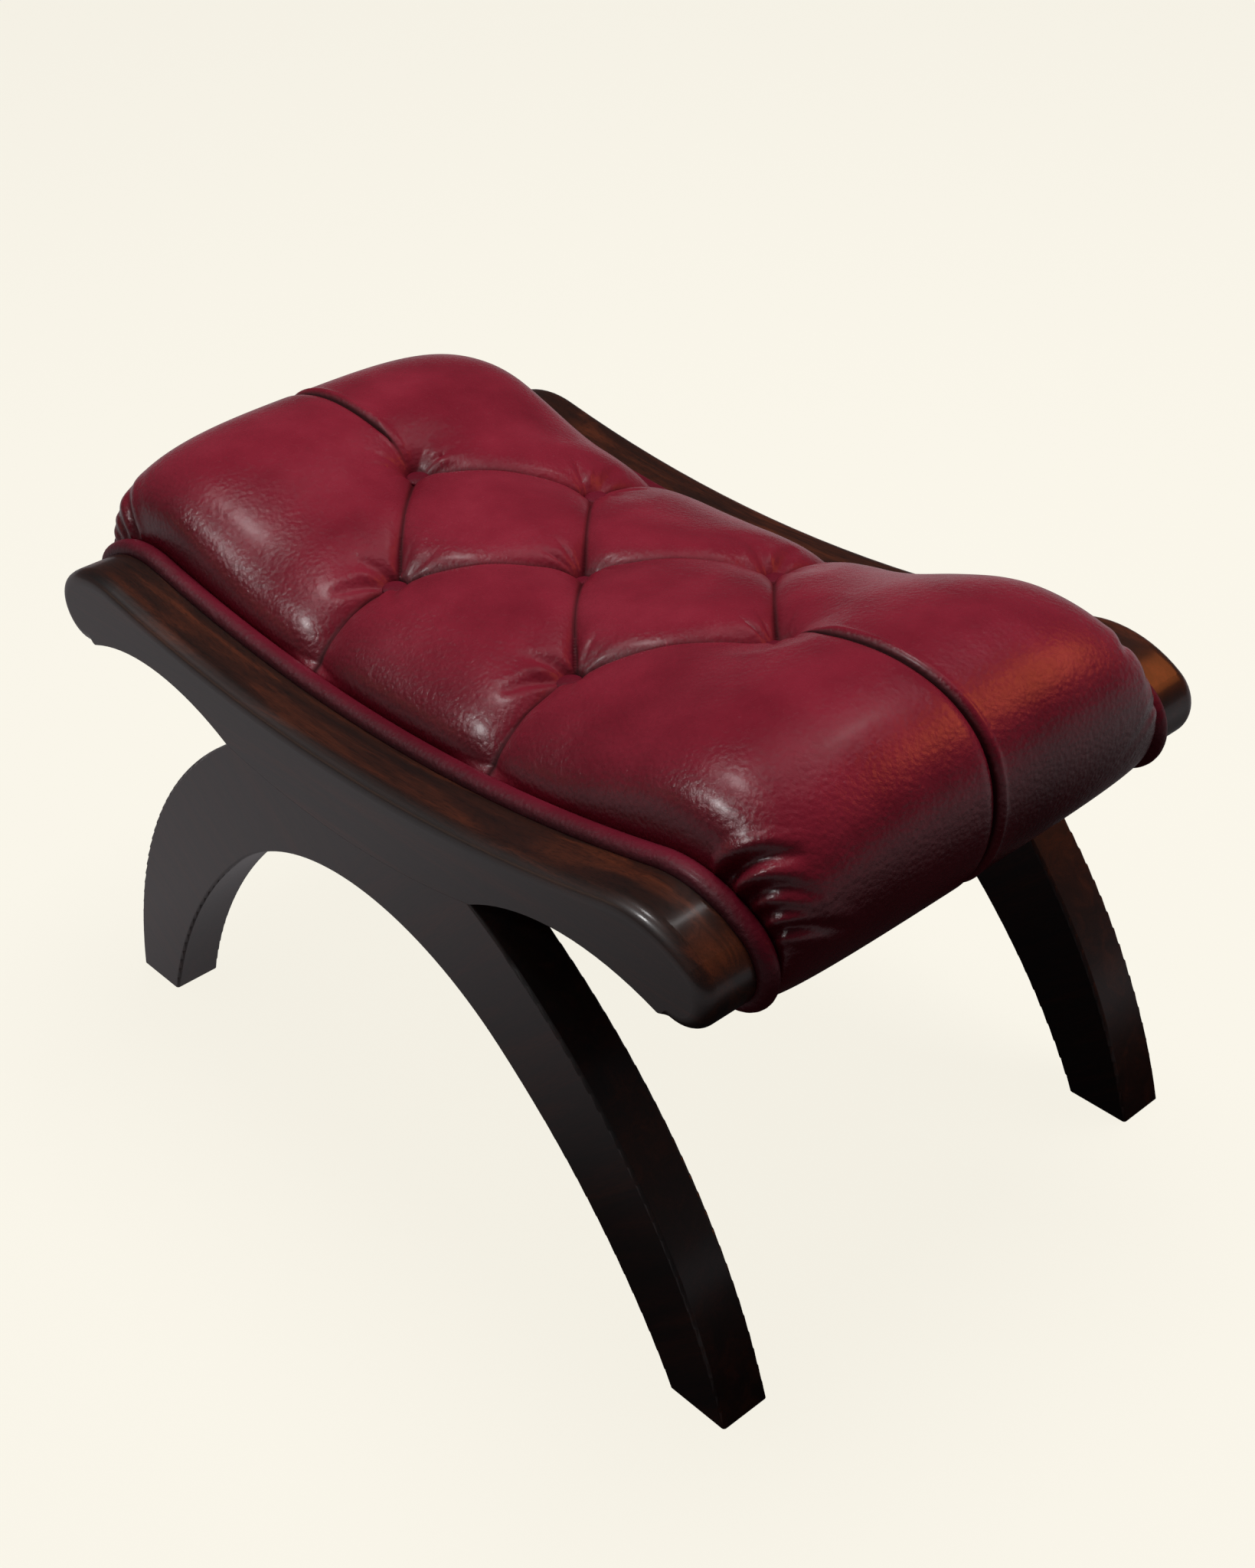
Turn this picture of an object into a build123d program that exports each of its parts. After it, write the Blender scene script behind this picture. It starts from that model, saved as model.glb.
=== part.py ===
"""Footstool with two scroll-ended saddle frames and a deep-buttoned leather seat.

X runs along the side rails, Y across the stool and Z up from the floor, in millimetres.
The origin lies on the floor, midway between the four feet.
"""

import math
import os

from build123d import *

# Overall sizes
stool_width = 380.0
frame_thickness = 33.0
foot_span = 600.0
foot_length = 44.0

# Tufting of the seat, which sets how long the saddle is
tuft_pitch_x = 80.0
tuft_side_margin = 63.5
tuft_depth = 24.0
seat_end_margin = 72.0

# Side rail, a saddle with a scroll at each end
rail_top_z = 301.0
rail_depth = 51.0
saddle_radius = 1070.0
crest_run = 48.0
scroll_drop = 7.0
scroll_radius = 24.0
recess_run = 75.5
recess_drop = 16.0
recess_radius = 180.0
rail_under_radius = 546.0
rail_roundover = 9.0
radius_match = 0.1

# Half-arch legs
arch_depth = 32.0
arch_radius = 200.0
arch_angle = 40.0
leg_outer_radius = 400.0
notch_half = 117.5
leg_arris = 2.0
glue_gap = 0.1

# Dowels in the frames
dowel_diameter = 8.0
dowel_length = 36.0
dowel_clearance = 0.2
dowel_inner_x = 45.0
dowel_outer_x = 85.0

# Piping along the inner edge of each rail
piping_diameter = 13.0
piping_lift = 1.0
piping_skin = 1.3
piping_sides = 12
piping_cord_sides = 6
piping_tail_angle = -100.0

# Seat frame
seat_gap = 0.3
batten_thickness = 24.0
batten_depth = 28.0
end_rail_length = 40.0
end_rail_drop = 36.0
end_rail_inset = 2.4
end_rail_upper_round = 10.0
end_rail_lower_round = 20.0
corner_block_leg = 42.0
corner_block_height = 20.0
layer_gap = 0.2
strap_width = 50.0
strap_thickness = 1.4
deck_thickness = 0.8
deck_edge_lap = 10.0
dust_cover_thickness = 0.6
dust_cover_lap = 18.0

# Screws through the seat frame into the rails
screw_inner_x = 70.0
screw_end_margin = 52.0
screw_shank = 4.5
screw_head = 9.0
screw_head_height = 3.0
screw_length = 44.0
screw_clearance = 0.2

# Leather cushion: crown, end rolls (set out from the middle of the scroll) and folds
leather_thickness = 1.5
foam_clearance = 0.3
crown_rise = 60.0
cushion_edge_rise = 2.0
crown_camber = 7.0
shoulder_width = 55.0
roll_top_run, roll_top_rise = -12.0, 87.0
roll_front_run, roll_front_rise = 38.5, 28.0
roll_lower_run, roll_lower_drop = 16.0, 27.5
roll_bottom_run, roll_bottom_drop = 5.0, 35.5
roll_under_run, roll_under_drop = -8.0, 37.5
roll_edge_angles = (60.0, 5.0, -50.0)
roll_edge_bottom_run, roll_edge_bottom_drop = 7.0, 29.0
roll_edge_under_run, roll_edge_under_drop = -6.0, 32.0
roll_heart_run, roll_heart_rise = -26.0, 17.0
roll_pillow_drop = 2.0
fold_depth = 8.0
fold_half_width = 0.8
pleat_depth = 4.5
side_pleat_depth = 4.0
tuft_seat_half_x = 4.0
tuft_seat_half_y = 7.0
fold_meeting_half = 0.5
pillow_sag_share = 0.115
edge_sag_share = 0.15
edge_fold_share = 0.3
diamond_step_shares = (0.14, 0.5, 0.86)
shoulder_angles = (25.0, 48.0, 70.0, 90.0)

# Covered buttons, their twine and the washers that hold it
button_diameter = 16.0
button_back_height = 2.6
button_rim_height = 1.1
button_dome_height = 2.4
button_lift = 0.9
twine_diameter = 2.4
twine_clearance = 0.3
twine_sides = 6
washer_diameter = 18.0
washer_sides = 12
washer_thickness = 3.0
knot_diameter = 6.0
knot_height = 3.0

floor_overrun = 3.0
cut_overrun = 2.0
right_angle = 90.0

# Places worked out from the sizes above
inner_half = stool_width / 2 - frame_thickness
frame_middle = stool_width / 2 - frame_thickness / 2
foot_outer_x = foot_span / 2
foot_inner_x = foot_outer_x - foot_length
saddle_half = 2 * tuft_pitch_x + seat_end_margin
saddle_center_z = rail_top_z + saddle_radius
rail_under_z = rail_top_z - rail_depth
under_center = (0.0, rail_under_z + rail_under_radius)
leg_top_radius = rail_under_radius + glue_gap
scroll_x = saddle_half + crest_run
scroll_z = rail_top_z - scroll_drop
scroll_center = (scroll_x, scroll_z)
recess_center = (scroll_x - recess_run, rail_top_z - recess_drop - recess_radius)
arch_crown_z = rail_under_z - arch_depth
arch_dowel_z = rail_under_z - arch_depth / 2
rail_dowel_places = (-dowel_outer_x, -dowel_inner_x, dowel_inner_x, dowel_outer_x)
screw_outer_x = saddle_half - screw_end_margin
screw_places = (-screw_outer_x, -screw_inner_x, screw_inner_x, screw_outer_x)
piping_radius = piping_diameter / 2
piping_y = inner_half - piping_radius - layer_gap
cushion_half = piping_y - piping_radius - seat_gap
tuft_pitch_y = cushion_half - tuft_side_margin
batten_outer = inner_half - seat_gap
batten_inner = batten_outer - batten_thickness
batten_top_z = rail_top_z + piping_lift - piping_radius - seat_gap
batten_bottom_z = batten_top_z - batten_depth
end_rail_half = cushion_half - leather_thickness - end_rail_inset
end_rail_bottom_z = rail_top_z - end_rail_drop
crown_z = rail_top_z + crown_rise
cushion_edge_z = rail_top_z + cushion_edge_rise
roll_top = (scroll_x + roll_top_run, scroll_z + roll_top_rise)
roll_front = (scroll_x + roll_front_run, scroll_z + roll_front_rise)
roll_lower = (scroll_x + roll_lower_run, scroll_z - roll_lower_drop)
roll_bottom = (scroll_x + roll_bottom_run, scroll_z - roll_bottom_drop)
roll_under = (scroll_x + roll_under_run, scroll_z - roll_under_drop)
roll_edge_bottom = (scroll_x + roll_edge_bottom_run, scroll_z - roll_edge_bottom_drop)
roll_edge_under = (scroll_x + roll_edge_under_run, scroll_z - roll_edge_under_drop)
roll_heart = (scroll_x + roll_heart_run, scroll_z + roll_heart_rise)
batten_half = saddle_half - layer_gap
strap_bottom_z = batten_top_z + layer_gap
strap_top_z = strap_bottom_z + strap_thickness
deck_bottom_z = strap_top_z + layer_gap
deck_top_z = deck_bottom_z + deck_thickness
cushion_floor_z = deck_top_z + seat_gap
tuft_seat_z = crown_z - tuft_depth
deck_half = batten_inner + deck_edge_lap
sides = ((-1, "near"), (1, "far"))
ends = ((-1, "back"), (1, "front"))
dowel_bore_radius = (dowel_diameter + dowel_clearance) / 2
screw_middle_z = batten_top_z - batten_depth / 2
screw_bite = screw_length - batten_thickness - seat_gap + layer_gap
twine_bore_radius = twine_diameter / 2 + twine_clearance
piping_bore_radius = piping_radius - piping_skin
piping_scroll_radius = scroll_radius + piping_lift
strap_places = [column * tuft_pitch_x for column in (-2, -1, 0, 1, 2)]
tuft_places = [(column * tuft_pitch_x, 0.0) for column in (-2, 0, 2)]
tuft_places += [(column * tuft_pitch_x, row * tuft_pitch_y) for column in (-1, 1) for row in (-1, 1)]

os.makedirs("parts", exist_ok=True)


def finish(builder, name):
    """Label a finished piece and write its file."""
    builder.part.label = name
    export_step(builder.part, f"parts/{name}.step")


def across(y):
    """Plane that looks along Y, at a distance y from the middle of the stool."""
    return Plane.XZ.offset(-y)


def on_circle(center, radius, degrees):
    """Point of a circle, at an angle from +X."""
    angle = math.radians(degrees)
    return (center[0] + radius * math.cos(angle), center[1] + radius * math.sin(angle))


def crossing(center_a, radius_a, center_b, radius_b, side):
    """Point where two circles cross, left (1) or right (-1) of the line from a to b."""
    a, b = Vector(*center_a), Vector(*center_b)
    distance = (b - a).length
    along = (distance**2 + radius_a**2 - radius_b**2) / (2 * distance)
    beside = math.sqrt(radius_a**2 - along**2)
    forward = (b - a).normalized()
    point = a + forward * along + Vector(-forward.Y, forward.X) * (side * beside)
    return (point.X, point.Y)


def arc_about(center, start, end):
    """Arc about a center, the short way round."""
    middle, first, last = Vector(*center), Vector(*start), Vector(*end)
    toward = ((first - middle).normalized() + (last - middle).normalized()).normalized()
    ThreePointArc(first, middle + toward * (first - middle).length, last)


def frame_start(side):
    """Place across the stool where the extrusion of a side frame starts."""
    return -inner_half if side < 0 else stool_width / 2


def under_z(x):
    """Height of the seat of the legs under a rail."""
    return under_center[1] - math.sqrt(rail_under_radius**2 - x**2)


def saddle_z(base_z, x):
    """Height at x of a line that keeps its distance from the saddle of the rails."""
    radius = saddle_center_z - base_z
    return saddle_center_z - math.sqrt(radius**2 - x**2)


def saddle_arc(base_z, start_x, end_x):
    """Arc that follows the saddle between two places."""
    start = (start_x, saddle_z(base_z, start_x))
    arc_about((0.0, saddle_center_z), start, (end_x, saddle_z(base_z, end_x)))


def saddle_band(bottom_z, top_z, start_x, end_x):
    """Face between two lines that follow the saddle."""
    with BuildLine() as outline:
        saddle_arc(bottom_z, start_x, end_x)
        Line((end_x, saddle_z(bottom_z, end_x)), (end_x, saddle_z(top_z, end_x)))
        saddle_arc(top_z, end_x, start_x)
        Line((start_x, saddle_z(top_z, start_x)), (start_x, saddle_z(bottom_z, start_x)))
    make_face(outline.edges())


def lean(x):
    """Angle of the line from the saddle's center through a tuft, from straight down."""
    return math.asin(x / (saddle_center_z - tuft_seat_z))


def lean_x(x, base_z):
    """Place along X where the line through a tuft meets another saddle line."""
    return (saddle_center_z - base_z) * math.sin(lean(x))


def saddle_plane(x, y, base_z):
    """Plane on a saddle line, square to the line through a tuft."""
    across_x = lean_x(x, base_z)
    along = (math.cos(lean(x)), 0, math.sin(lean(x)))
    upward = (-math.sin(lean(x)), 0, math.cos(lean(x)))
    return Plane(origin=(across_x, y, saddle_z(base_z, across_x)), x_dir=along, z_dir=upward)


def crest_circle(offset):
    """Center and radius of the crest that joins the saddle to the scroll, set out by offset."""
    start = Vector(saddle_half, saddle_z(rail_top_z, saddle_half))
    outward = (start - Vector(0, saddle_center_z)).normalized()
    gap = start - Vector(*scroll_center)
    radius = (scroll_radius**2 - gap.length**2) / (2 * (outward.dot(gap) + scroll_radius))
    center = start + outward * radius
    return (center.X, center.Y), radius + offset


def crest_start(offset):
    """Point where the saddle turns into the crest."""
    start = Vector(saddle_half, saddle_z(rail_top_z, saddle_half))
    point = start + (Vector(0, saddle_center_z) - start).normalized() * offset
    return (point.X, point.Y)


def crest_end(offset):
    """Point where the crest turns into the scroll."""
    center, radius = crest_circle(offset)
    point = Vector(*center) + (Vector(*scroll_center) - Vector(*center)).normalized() * radius
    return (point.X, point.Y)


def matches(radius, wanted):
    """Whether a radius is one of those wanted."""
    return any(math.isclose(radius, other, abs_tol=radius_match) for other in wanted)


def camber_at(y):
    """How far the crown has dropped at y from the middle of the cushion."""
    return min(crown_camber * (y / (cushion_half - shoulder_width)) ** 2, crown_camber)


# Side rails
scroll_foot = crossing(recess_center, recess_radius, scroll_center, scroll_radius, -1)
recess_start = crossing(under_center, rail_under_radius, recess_center, recess_radius, -1)


def side_rail(name, side):
    """Cut one rail and round over its outer top edge; the piping hides the inner one."""
    rounded = (saddle_radius, crest_circle(0.0)[1], scroll_radius)
    with BuildPart() as rail:
        with BuildSketch(across(frame_start(side))):
            with BuildLine() as outline:
                saddle_arc(rail_top_z, 0.0, saddle_half)
                arc_about(crest_circle(0.0)[0], crest_start(0.0), crest_end(0.0))
                arc_about(scroll_center, crest_end(0.0), scroll_foot)
                arc_about(recess_center, scroll_foot, recess_start)
                arc_about(under_center, recess_start, (0.0, rail_under_z))
                mirror(about=Plane.YZ)
            make_face(outline.edges())
        extrude(amount=frame_thickness)
        outer_face = rail.faces().filter_by(Axis.Y).sort_by(Axis.Y)[0 if side < 0 else -1]
        arcs = outer_face.edges().filter_by(GeomType.CIRCLE)
        fillet([arc for arc in arcs if matches(arc.radius, rounded)], radius=rail_roundover)
        for x in rail_dowel_places:
            with Locations((x, side * frame_middle, under_z(x))):
                Cylinder(dowel_bore_radius, dowel_length + dowel_clearance, mode=Mode.SUBTRACT)
        for x in screw_places:
            with BuildSketch(across(side * inner_half)):
                with Locations((x, saddle_z(screw_middle_z, x))):
                    Circle(screw_shank / 2 + screw_clearance)
            extrude(amount=-side * screw_bite, mode=Mode.SUBTRACT)
    finish(rail, name)


for side, word in sides:
    side_rail(f"rail_{word}", side)


# Half-arch legs, butted together at the crown and cut to the seat of the rail
def leg(name, side, end):
    """Cut one leg; end is 1 for the front leg and -1 for the back one."""
    arch_turn = on_circle((0.0, arch_crown_z - arch_radius), arch_radius, right_angle - arch_angle)
    inward = Vector(*arch_turn) - Vector(0, arch_crown_z - arch_radius)
    reach = Vector(*arch_turn) - Vector(foot_inner_x, 0)
    flat_radius = reach.length**2 / (2 * inward.normalized().dot(reach))
    flat_center = Vector(*arch_turn) - inward.normalized() * flat_radius
    notch = (notch_half, under_center[1] - math.sqrt(leg_top_radius**2 - notch_half**2))
    back = crossing((foot_outer_x, 0.0), leg_outer_radius, notch, leg_outer_radius, 1)
    seam_top = (0.0, under_center[1] - leg_top_radius)
    with BuildPart() as half_arch:
        with BuildSketch(across(frame_start(side))):
            with BuildLine() as outline:
                arc_about((0.0, arch_crown_z - arch_radius), (0.0, arch_crown_z), arch_turn)
                arc_about((flat_center.X, flat_center.Y), arch_turn, (foot_inner_x, 0.0))
                Line((foot_inner_x, 0.0), (foot_outer_x, 0.0))
                arc_about(back, (foot_outer_x, 0.0), notch)
                arc_about(under_center, notch, seam_top)
                Line(seam_top, (0.0, arch_crown_z))
            make_face(outline.edges())
        extrude(amount=frame_thickness)
        for place in (0, -1):
            face = half_arch.faces().filter_by(Axis.Y).sort_by(Axis.Y)[place]
            arcs = face.edges().filter_by(GeomType.CIRCLE)
            fillet(arcs.filter_by(lambda arc: arc.radius < leg_top_radius - leg_arris), radius=leg_arris)
        for x in rail_dowel_places:
            if x > 0:
                with Locations((x, side * frame_middle, under_z(x))):
                    Cylinder(dowel_bore_radius, dowel_length + dowel_clearance, mode=Mode.SUBTRACT)
        with Locations((0, side * frame_middle, arch_dowel_z)):
            Cylinder(
                dowel_bore_radius,
                dowel_length + dowel_clearance,
                rotation=(0, right_angle, 0),
                mode=Mode.SUBTRACT,
            )
        if end < 0:
            mirror(about=Plane.YZ, mode=Mode.REPLACE)
    finish(half_arch, name)


for side, side_word in sides:
    for end, end_word in ends:
        leg(f"leg_{side_word}_{end_word}", side, end)

for side, word in sides:
    with BuildPart() as rail_dowels:
        for x in rail_dowel_places:
            with Locations((x, side * frame_middle, under_z(x))):
                Cylinder(dowel_diameter / 2, dowel_length)
    finish(rail_dowels, f"rail_dowels_{word}")

    with BuildPart() as arch_dowel:
        with Locations((0, side * frame_middle, arch_dowel_z)):
            Cylinder(dowel_diameter / 2, dowel_length, rotation=(0, right_angle, 0))
    finish(arch_dowel, f"arch_dowel_{word}")


# Seat frame: two curved battens screwed to the rails and two padded end rails
for side, word in sides:
    with BuildPart() as batten:
        with BuildSketch(across(-batten_inner if side < 0 else batten_outer)):
            saddle_band(batten_bottom_z, batten_top_z, -batten_half, batten_half)
        extrude(amount=batten_thickness)
        for x in screw_places:
            with BuildSketch(across(side * batten_inner)):
                with Locations((x, saddle_z(screw_middle_z, x))):
                    Circle(screw_shank / 2 + screw_clearance)
            extrude(amount=-side * batten_thickness, mode=Mode.SUBTRACT)
            with BuildSketch(across(side * batten_inner)):
                with Locations((x, saddle_z(screw_middle_z, x))):
                    Circle(screw_head / 2 + screw_clearance)
            extrude(amount=-side * (screw_head_height + screw_clearance), mode=Mode.SUBTRACT)
    finish(batten, f"seat_batten_{word}")

    with BuildPart() as frame_screws:
        for x in screw_places:
            with BuildSketch(across(side * batten_inner)):
                with Locations((x, saddle_z(screw_middle_z, x))):
                    Circle(screw_head / 2)
            extrude(amount=-side * screw_head_height)
            with BuildSketch(across(side * batten_inner)):
                with Locations((x, saddle_z(screw_middle_z, x))):
                    Circle(screw_shank / 2)
            extrude(amount=-side * screw_length)
    finish(frame_screws, f"frame_screws_{word}")


def end_rail_face(growth):
    """Profile of the front end rail, grown on every side."""
    near_x, far_x = saddle_half - growth, saddle_half + end_rail_length + growth
    top_z = batten_top_z + growth
    bottom_z = end_rail_bottom_z - growth
    with BuildLine() as outline:
        Line((far_x, bottom_z), (far_x, saddle_z(top_z, far_x)))
        saddle_arc(top_z, far_x, near_x)
        Line((near_x, saddle_z(top_z, near_x)), (near_x, bottom_z))
        Line((near_x, bottom_z), (far_x, bottom_z))
    make_face(outline.edges())


def end_rail_solid(growth, half_length):
    """Front end rail, rounded where the padding turns over it."""
    with BuildPart() as bar:
        with BuildSketch(across(half_length)):
            end_rail_face(growth)
        extrude(amount=2 * half_length)
        outside = bar.faces().sort_by(Axis.X)[-1].edges().filter_by(Axis.Y).sort_by(Axis.Z)
        fillet(outside[-1], radius=end_rail_upper_round)
        outside = bar.faces().filter_by(GeomType.PLANE).sort_by(Axis.X)[-1]
        fillet(outside.edges().filter_by(Axis.Y).sort_by(Axis.Z)[0], radius=end_rail_lower_round)
    return bar.part


for end, word in ends:
    with BuildPart() as end_rail:
        add(end_rail_solid(0, end_rail_half))
        if end < 0:
            mirror(about=Plane.YZ, mode=Mode.REPLACE)
    finish(end_rail, f"end_rail_{word}")

for side, side_word in sides:
    for end, end_word in ends:
        block_x = batten_half - layer_gap
        block_y = batten_inner - layer_gap
        block_z = saddle_z(batten_bottom_z, block_x)
        with BuildPart() as corner_block:
            with BuildSketch(Plane.XY.offset(block_z)):
                Polygon(
                    (end * block_x, side * block_y),
                    (end * (block_x - corner_block_leg), side * block_y),
                    (end * block_x, side * (block_y - corner_block_leg)),
                    align=None,
                )
            extrude(amount=corner_block_height)
        finish(corner_block, f"corner_block_{side_word}_{end_word}")


def twine_bore(x, y, base_z, length):
    """Bore for the twine of a button, from a saddle line upward."""
    with BuildSketch(saddle_plane(x, y, base_z)) as bore:
        RegularPolygon(twine_bore_radius, twine_sides)
    extrude(bore.sketch, amount=length, mode=Mode.SUBTRACT)


# Webbing, deck and dust cover
for number, place in enumerate(strap_places, start=1):
    with BuildPart() as strap:
        with BuildSketch(across(deck_half)):
            start_x = lean_x(place, strap_bottom_z) - strap_width / 2
            saddle_band(strap_bottom_z, strap_top_z, start_x, start_x + strap_width)
        extrude(amount=2 * deck_half)
        for x, y in tuft_places:
            if math.isclose(x, place):
                twine_bore(x, y, strap_bottom_z - cut_overrun, 2 * cut_overrun + strap_thickness)
    finish(strap, f"webbing_strap_{number}")

with BuildPart() as deck:
    with BuildSketch(across(deck_half)):
        saddle_band(deck_bottom_z, deck_top_z, -batten_half, batten_half)
    extrude(amount=2 * deck_half)
    for x, y in tuft_places:
        twine_bore(x, y, deck_bottom_z - cut_overrun, 2 * cut_overrun + deck_thickness)
finish(deck, "deck_cloth")

with BuildPart() as dust_cover:
    dust_top_z = batten_bottom_z - layer_gap
    dust_half = batten_inner + dust_cover_lap
    with BuildSketch(across(dust_half)):
        saddle_band(dust_top_z - dust_cover_thickness, dust_top_z, -batten_half, batten_half)
    extrude(amount=2 * dust_half)
finish(dust_cover, "dust_cover")


# Cushion, drawn as lengthways sections from one side of the stool to the other
def mix(low, high, share):
    """Value or point part of the way from low to high."""
    if isinstance(low, tuple):
        return tuple(mix(a, b, share) for a, b in zip(low, high))
    return low + (high - low) * share


def shoulder(y):
    """One over the middle of the cushion, falling round to zero at its side."""
    beyond = max(0, abs(y) - (cushion_half - shoulder_width)) / shoulder_width
    return math.sqrt(max(0, 1 - beyond**2))


def crown_height(x, y, depth):
    """Height of the cushion above its edge line, less the depth of a fold."""
    top = saddle_z(crown_z, x) - camber_at(y) - depth
    return mix(saddle_z(cushion_edge_z, x) - depth * edge_fold_share, top, shoulder(y))


def fold_places(y):
    """Places along X of the two folds on one side of the middle, and their depth."""
    travel = (abs(y) - tuft_seat_half_y) / (tuft_pitch_y - 2 * tuft_seat_half_y)
    travel = min(max(travel, 0), 1)
    outer = tuft_pitch_x * (2 - travel)
    inner = tuft_pitch_x * travel
    depth = mix(fold_depth, tuft_depth, (2 * travel - 1) ** 2)
    past = abs(y) - tuft_pitch_y - tuft_seat_half_y
    if past > 0:
        fade = (1 - past / (cushion_half - tuft_pitch_y - tuft_seat_half_y)) ** 2
        depth = mix(side_pleat_depth, tuft_depth, fade)
        return outer, inner, depth, mix(fold_half_width, tuft_seat_half_x, fade)
    seat = mix(fold_half_width, tuft_seat_half_x, max(0, (2 * travel - 1) ** 2 * 2 - 1))
    return outer, inner, depth, seat


def drawn_in(point, distance):
    """Point of an end roll moved toward the heart of the roll."""
    inward = Vector(*roll_heart) - Vector(*point)
    moved = Vector(*point) + inward.normalized() * distance
    return (moved.X, moved.Y)


def cushion_section(y, inset, floor_drop):
    """Edges of one section: end rolls, pillows, folds and the floor on the deck."""
    outer, inner, depth, seat = fold_places(y)
    share = shoulder(y)
    pleat = pleat_depth * max(0, 1 - abs(y) / (2 * tuft_seat_half_y)) ** 2
    edge_points = [on_circle(scroll_center, piping_scroll_radius, angle) for angle in roll_edge_angles]
    edge_points += [roll_edge_bottom, roll_edge_under]
    middle_points = (roll_top, roll_front, roll_lower, roll_bottom, roll_under)
    top, front, lower, bottom, under = [
        drawn_in(mix(edge, middle, share), inset + pleat)
        for edge, middle in zip(edge_points, middle_points)
    ]
    tack_z = end_rail_bottom_z - layer_gap - leather_thickness + inset
    tack_x = saddle_half - floor_drop
    outer_far, outer_near = outer + seat, max(outer - seat, tuft_pitch_x + fold_meeting_half)
    inner_far = min(inner + seat, tuft_pitch_x - fold_meeting_half)
    inner_near = max(inner - seat, fold_meeting_half)
    fold_edges = (outer_far, outer_near, inner_far, inner_near)
    folds = [(x, crown_height(x, y, depth) - inset) for x in fold_edges]
    middle_x = (top[0] + outer_far) / 2
    middle_z = crown_height(middle_x, 0, roll_pillow_drop) - pleat
    crest_center, crest_radius = crest_circle(piping_lift)
    crest_top = (crest_center[0], crest_center[1] + crest_radius)
    pillow = Vector(*mix(crest_top, (middle_x, middle_z), share)) - Vector(0, inset)
    sag_share = pillow_sag_share * mix(edge_sag_share, 1, share)
    diamond_sag = sag_share * (outer_near - inner_far)
    diamond = ((outer_near + inner_far) / 2, (folds[1][1] + folds[2][1]) / 2 + diamond_sag)
    floor_z = cushion_floor_z - floor_drop
    with BuildLine() as half:
        Line((tack_x, saddle_z(floor_z, tack_x)), (tack_x, tack_z))
        Line((tack_x, tack_z), under)
        ThreePointArc(under, bottom, lower)
        ThreePointArc(lower, front, top)
        ThreePointArc(top, pillow, folds[0])
        Line(folds[0], folds[1])
        ThreePointArc(folds[1], diamond, folds[2])
        Line(folds[2], folds[3])
        mirror(about=Plane.YZ)
        middle_sag = 2 * sag_share * inner_near
        ThreePointArc(folds[3], (0, folds[3][1] + middle_sag), (-inner_near, folds[3][1]))
        saddle_arc(floor_z, -tack_x, tack_x)
    return half.edges()


def cushion_body(inset, floor_drop):
    """Ruled loft through the sections, set in from the leather by inset."""
    tuft_near, tuft_far = tuft_pitch_y - tuft_seat_half_y, tuft_pitch_y + tuft_seat_half_y
    flat_half = cushion_half - shoulder_width
    steps = [0, tuft_seat_half_y]
    steps += [mix(tuft_seat_half_y, tuft_near, share) for share in diamond_step_shares]
    steps += [tuft_near, tuft_far, flat_half]
    steps += [flat_half + shoulder_width * math.sin(math.radians(angle)) for angle in shoulder_angles]
    places = [-step for step in reversed(steps)] + steps[1:]
    with BuildPart() as body:
        for y in places:
            with BuildSketch(across(y * (cushion_half - inset) / cushion_half)):
                make_face(cushion_section(y, inset, floor_drop))
        loft(ruled=True)
    return body.part


with BuildPart() as leather_cover:
    add(cushion_body(0, 0))
    add(cushion_body(leather_thickness, floor_overrun), mode=Mode.SUBTRACT)
    for x, y in tuft_places:
        twine_bore(x, y, cushion_floor_z, crown_z - cushion_floor_z)
finish(leather_cover, "leather_cover")

with BuildPart() as foam_pad:
    add(cushion_body(leather_thickness + foam_clearance, 0))
    end_rail_pocket = end_rail_solid(foam_clearance, cushion_half)
    for pocket in (end_rail_pocket, end_rail_pocket.mirror(Plane.YZ)):
        add(pocket, mode=Mode.SUBTRACT)
    for end, word in ends:
        with Locations((end * (saddle_half + end_rail_length / 4), 0, end_rail_bottom_z)):
            Box(
                end_rail_length / 2 + 2 * cut_overrun,
                2 * cushion_half,
                2 * end_rail_lower_round,
                align=(Align.CENTER, Align.CENTER, Align.MAX),
                mode=Mode.SUBTRACT,
            )
    for x, y in tuft_places:
        twine_bore(x, y, cushion_floor_z - cut_overrun, crown_z - cushion_floor_z)
finish(foam_pad, "foam_pad")


# Covered buttons, and the twine that pulls each one down to a washer under the webbing
button_seat_z = tuft_seat_z + button_lift
button_axis_length = button_seat_z - strap_bottom_z + layer_gap + washer_thickness

for number, (x, y) in enumerate(tuft_places, start=1):
    radius = button_diameter / 2
    rim_z = button_back_height + button_rim_height
    with BuildPart() as button:
        with BuildSketch(Plane.XZ):
            with BuildLine() as profile:
                Line((0, 0), (tuft_seat_half_x, 0))
                Line((tuft_seat_half_x, 0), (radius, button_back_height))
                Line((radius, button_back_height), (radius, rim_z))
                dome_radius = (radius**2 + button_dome_height**2) / (2 * button_dome_height)
                dome_top = (0, rim_z + button_dome_height)
                arc_about((0, dome_top[1] - dome_radius), (radius, rim_z), dome_top)
                Line(dome_top, (0, 0))
            make_face(profile.edges())
        revolve(axis=Axis.Z)
    with BuildPart() as placed_button:
        add(button.part.moved(Location(saddle_plane(x, y, button_seat_z - camber_at(y)))))
    finish(placed_button, f"button_{number}")

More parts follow.
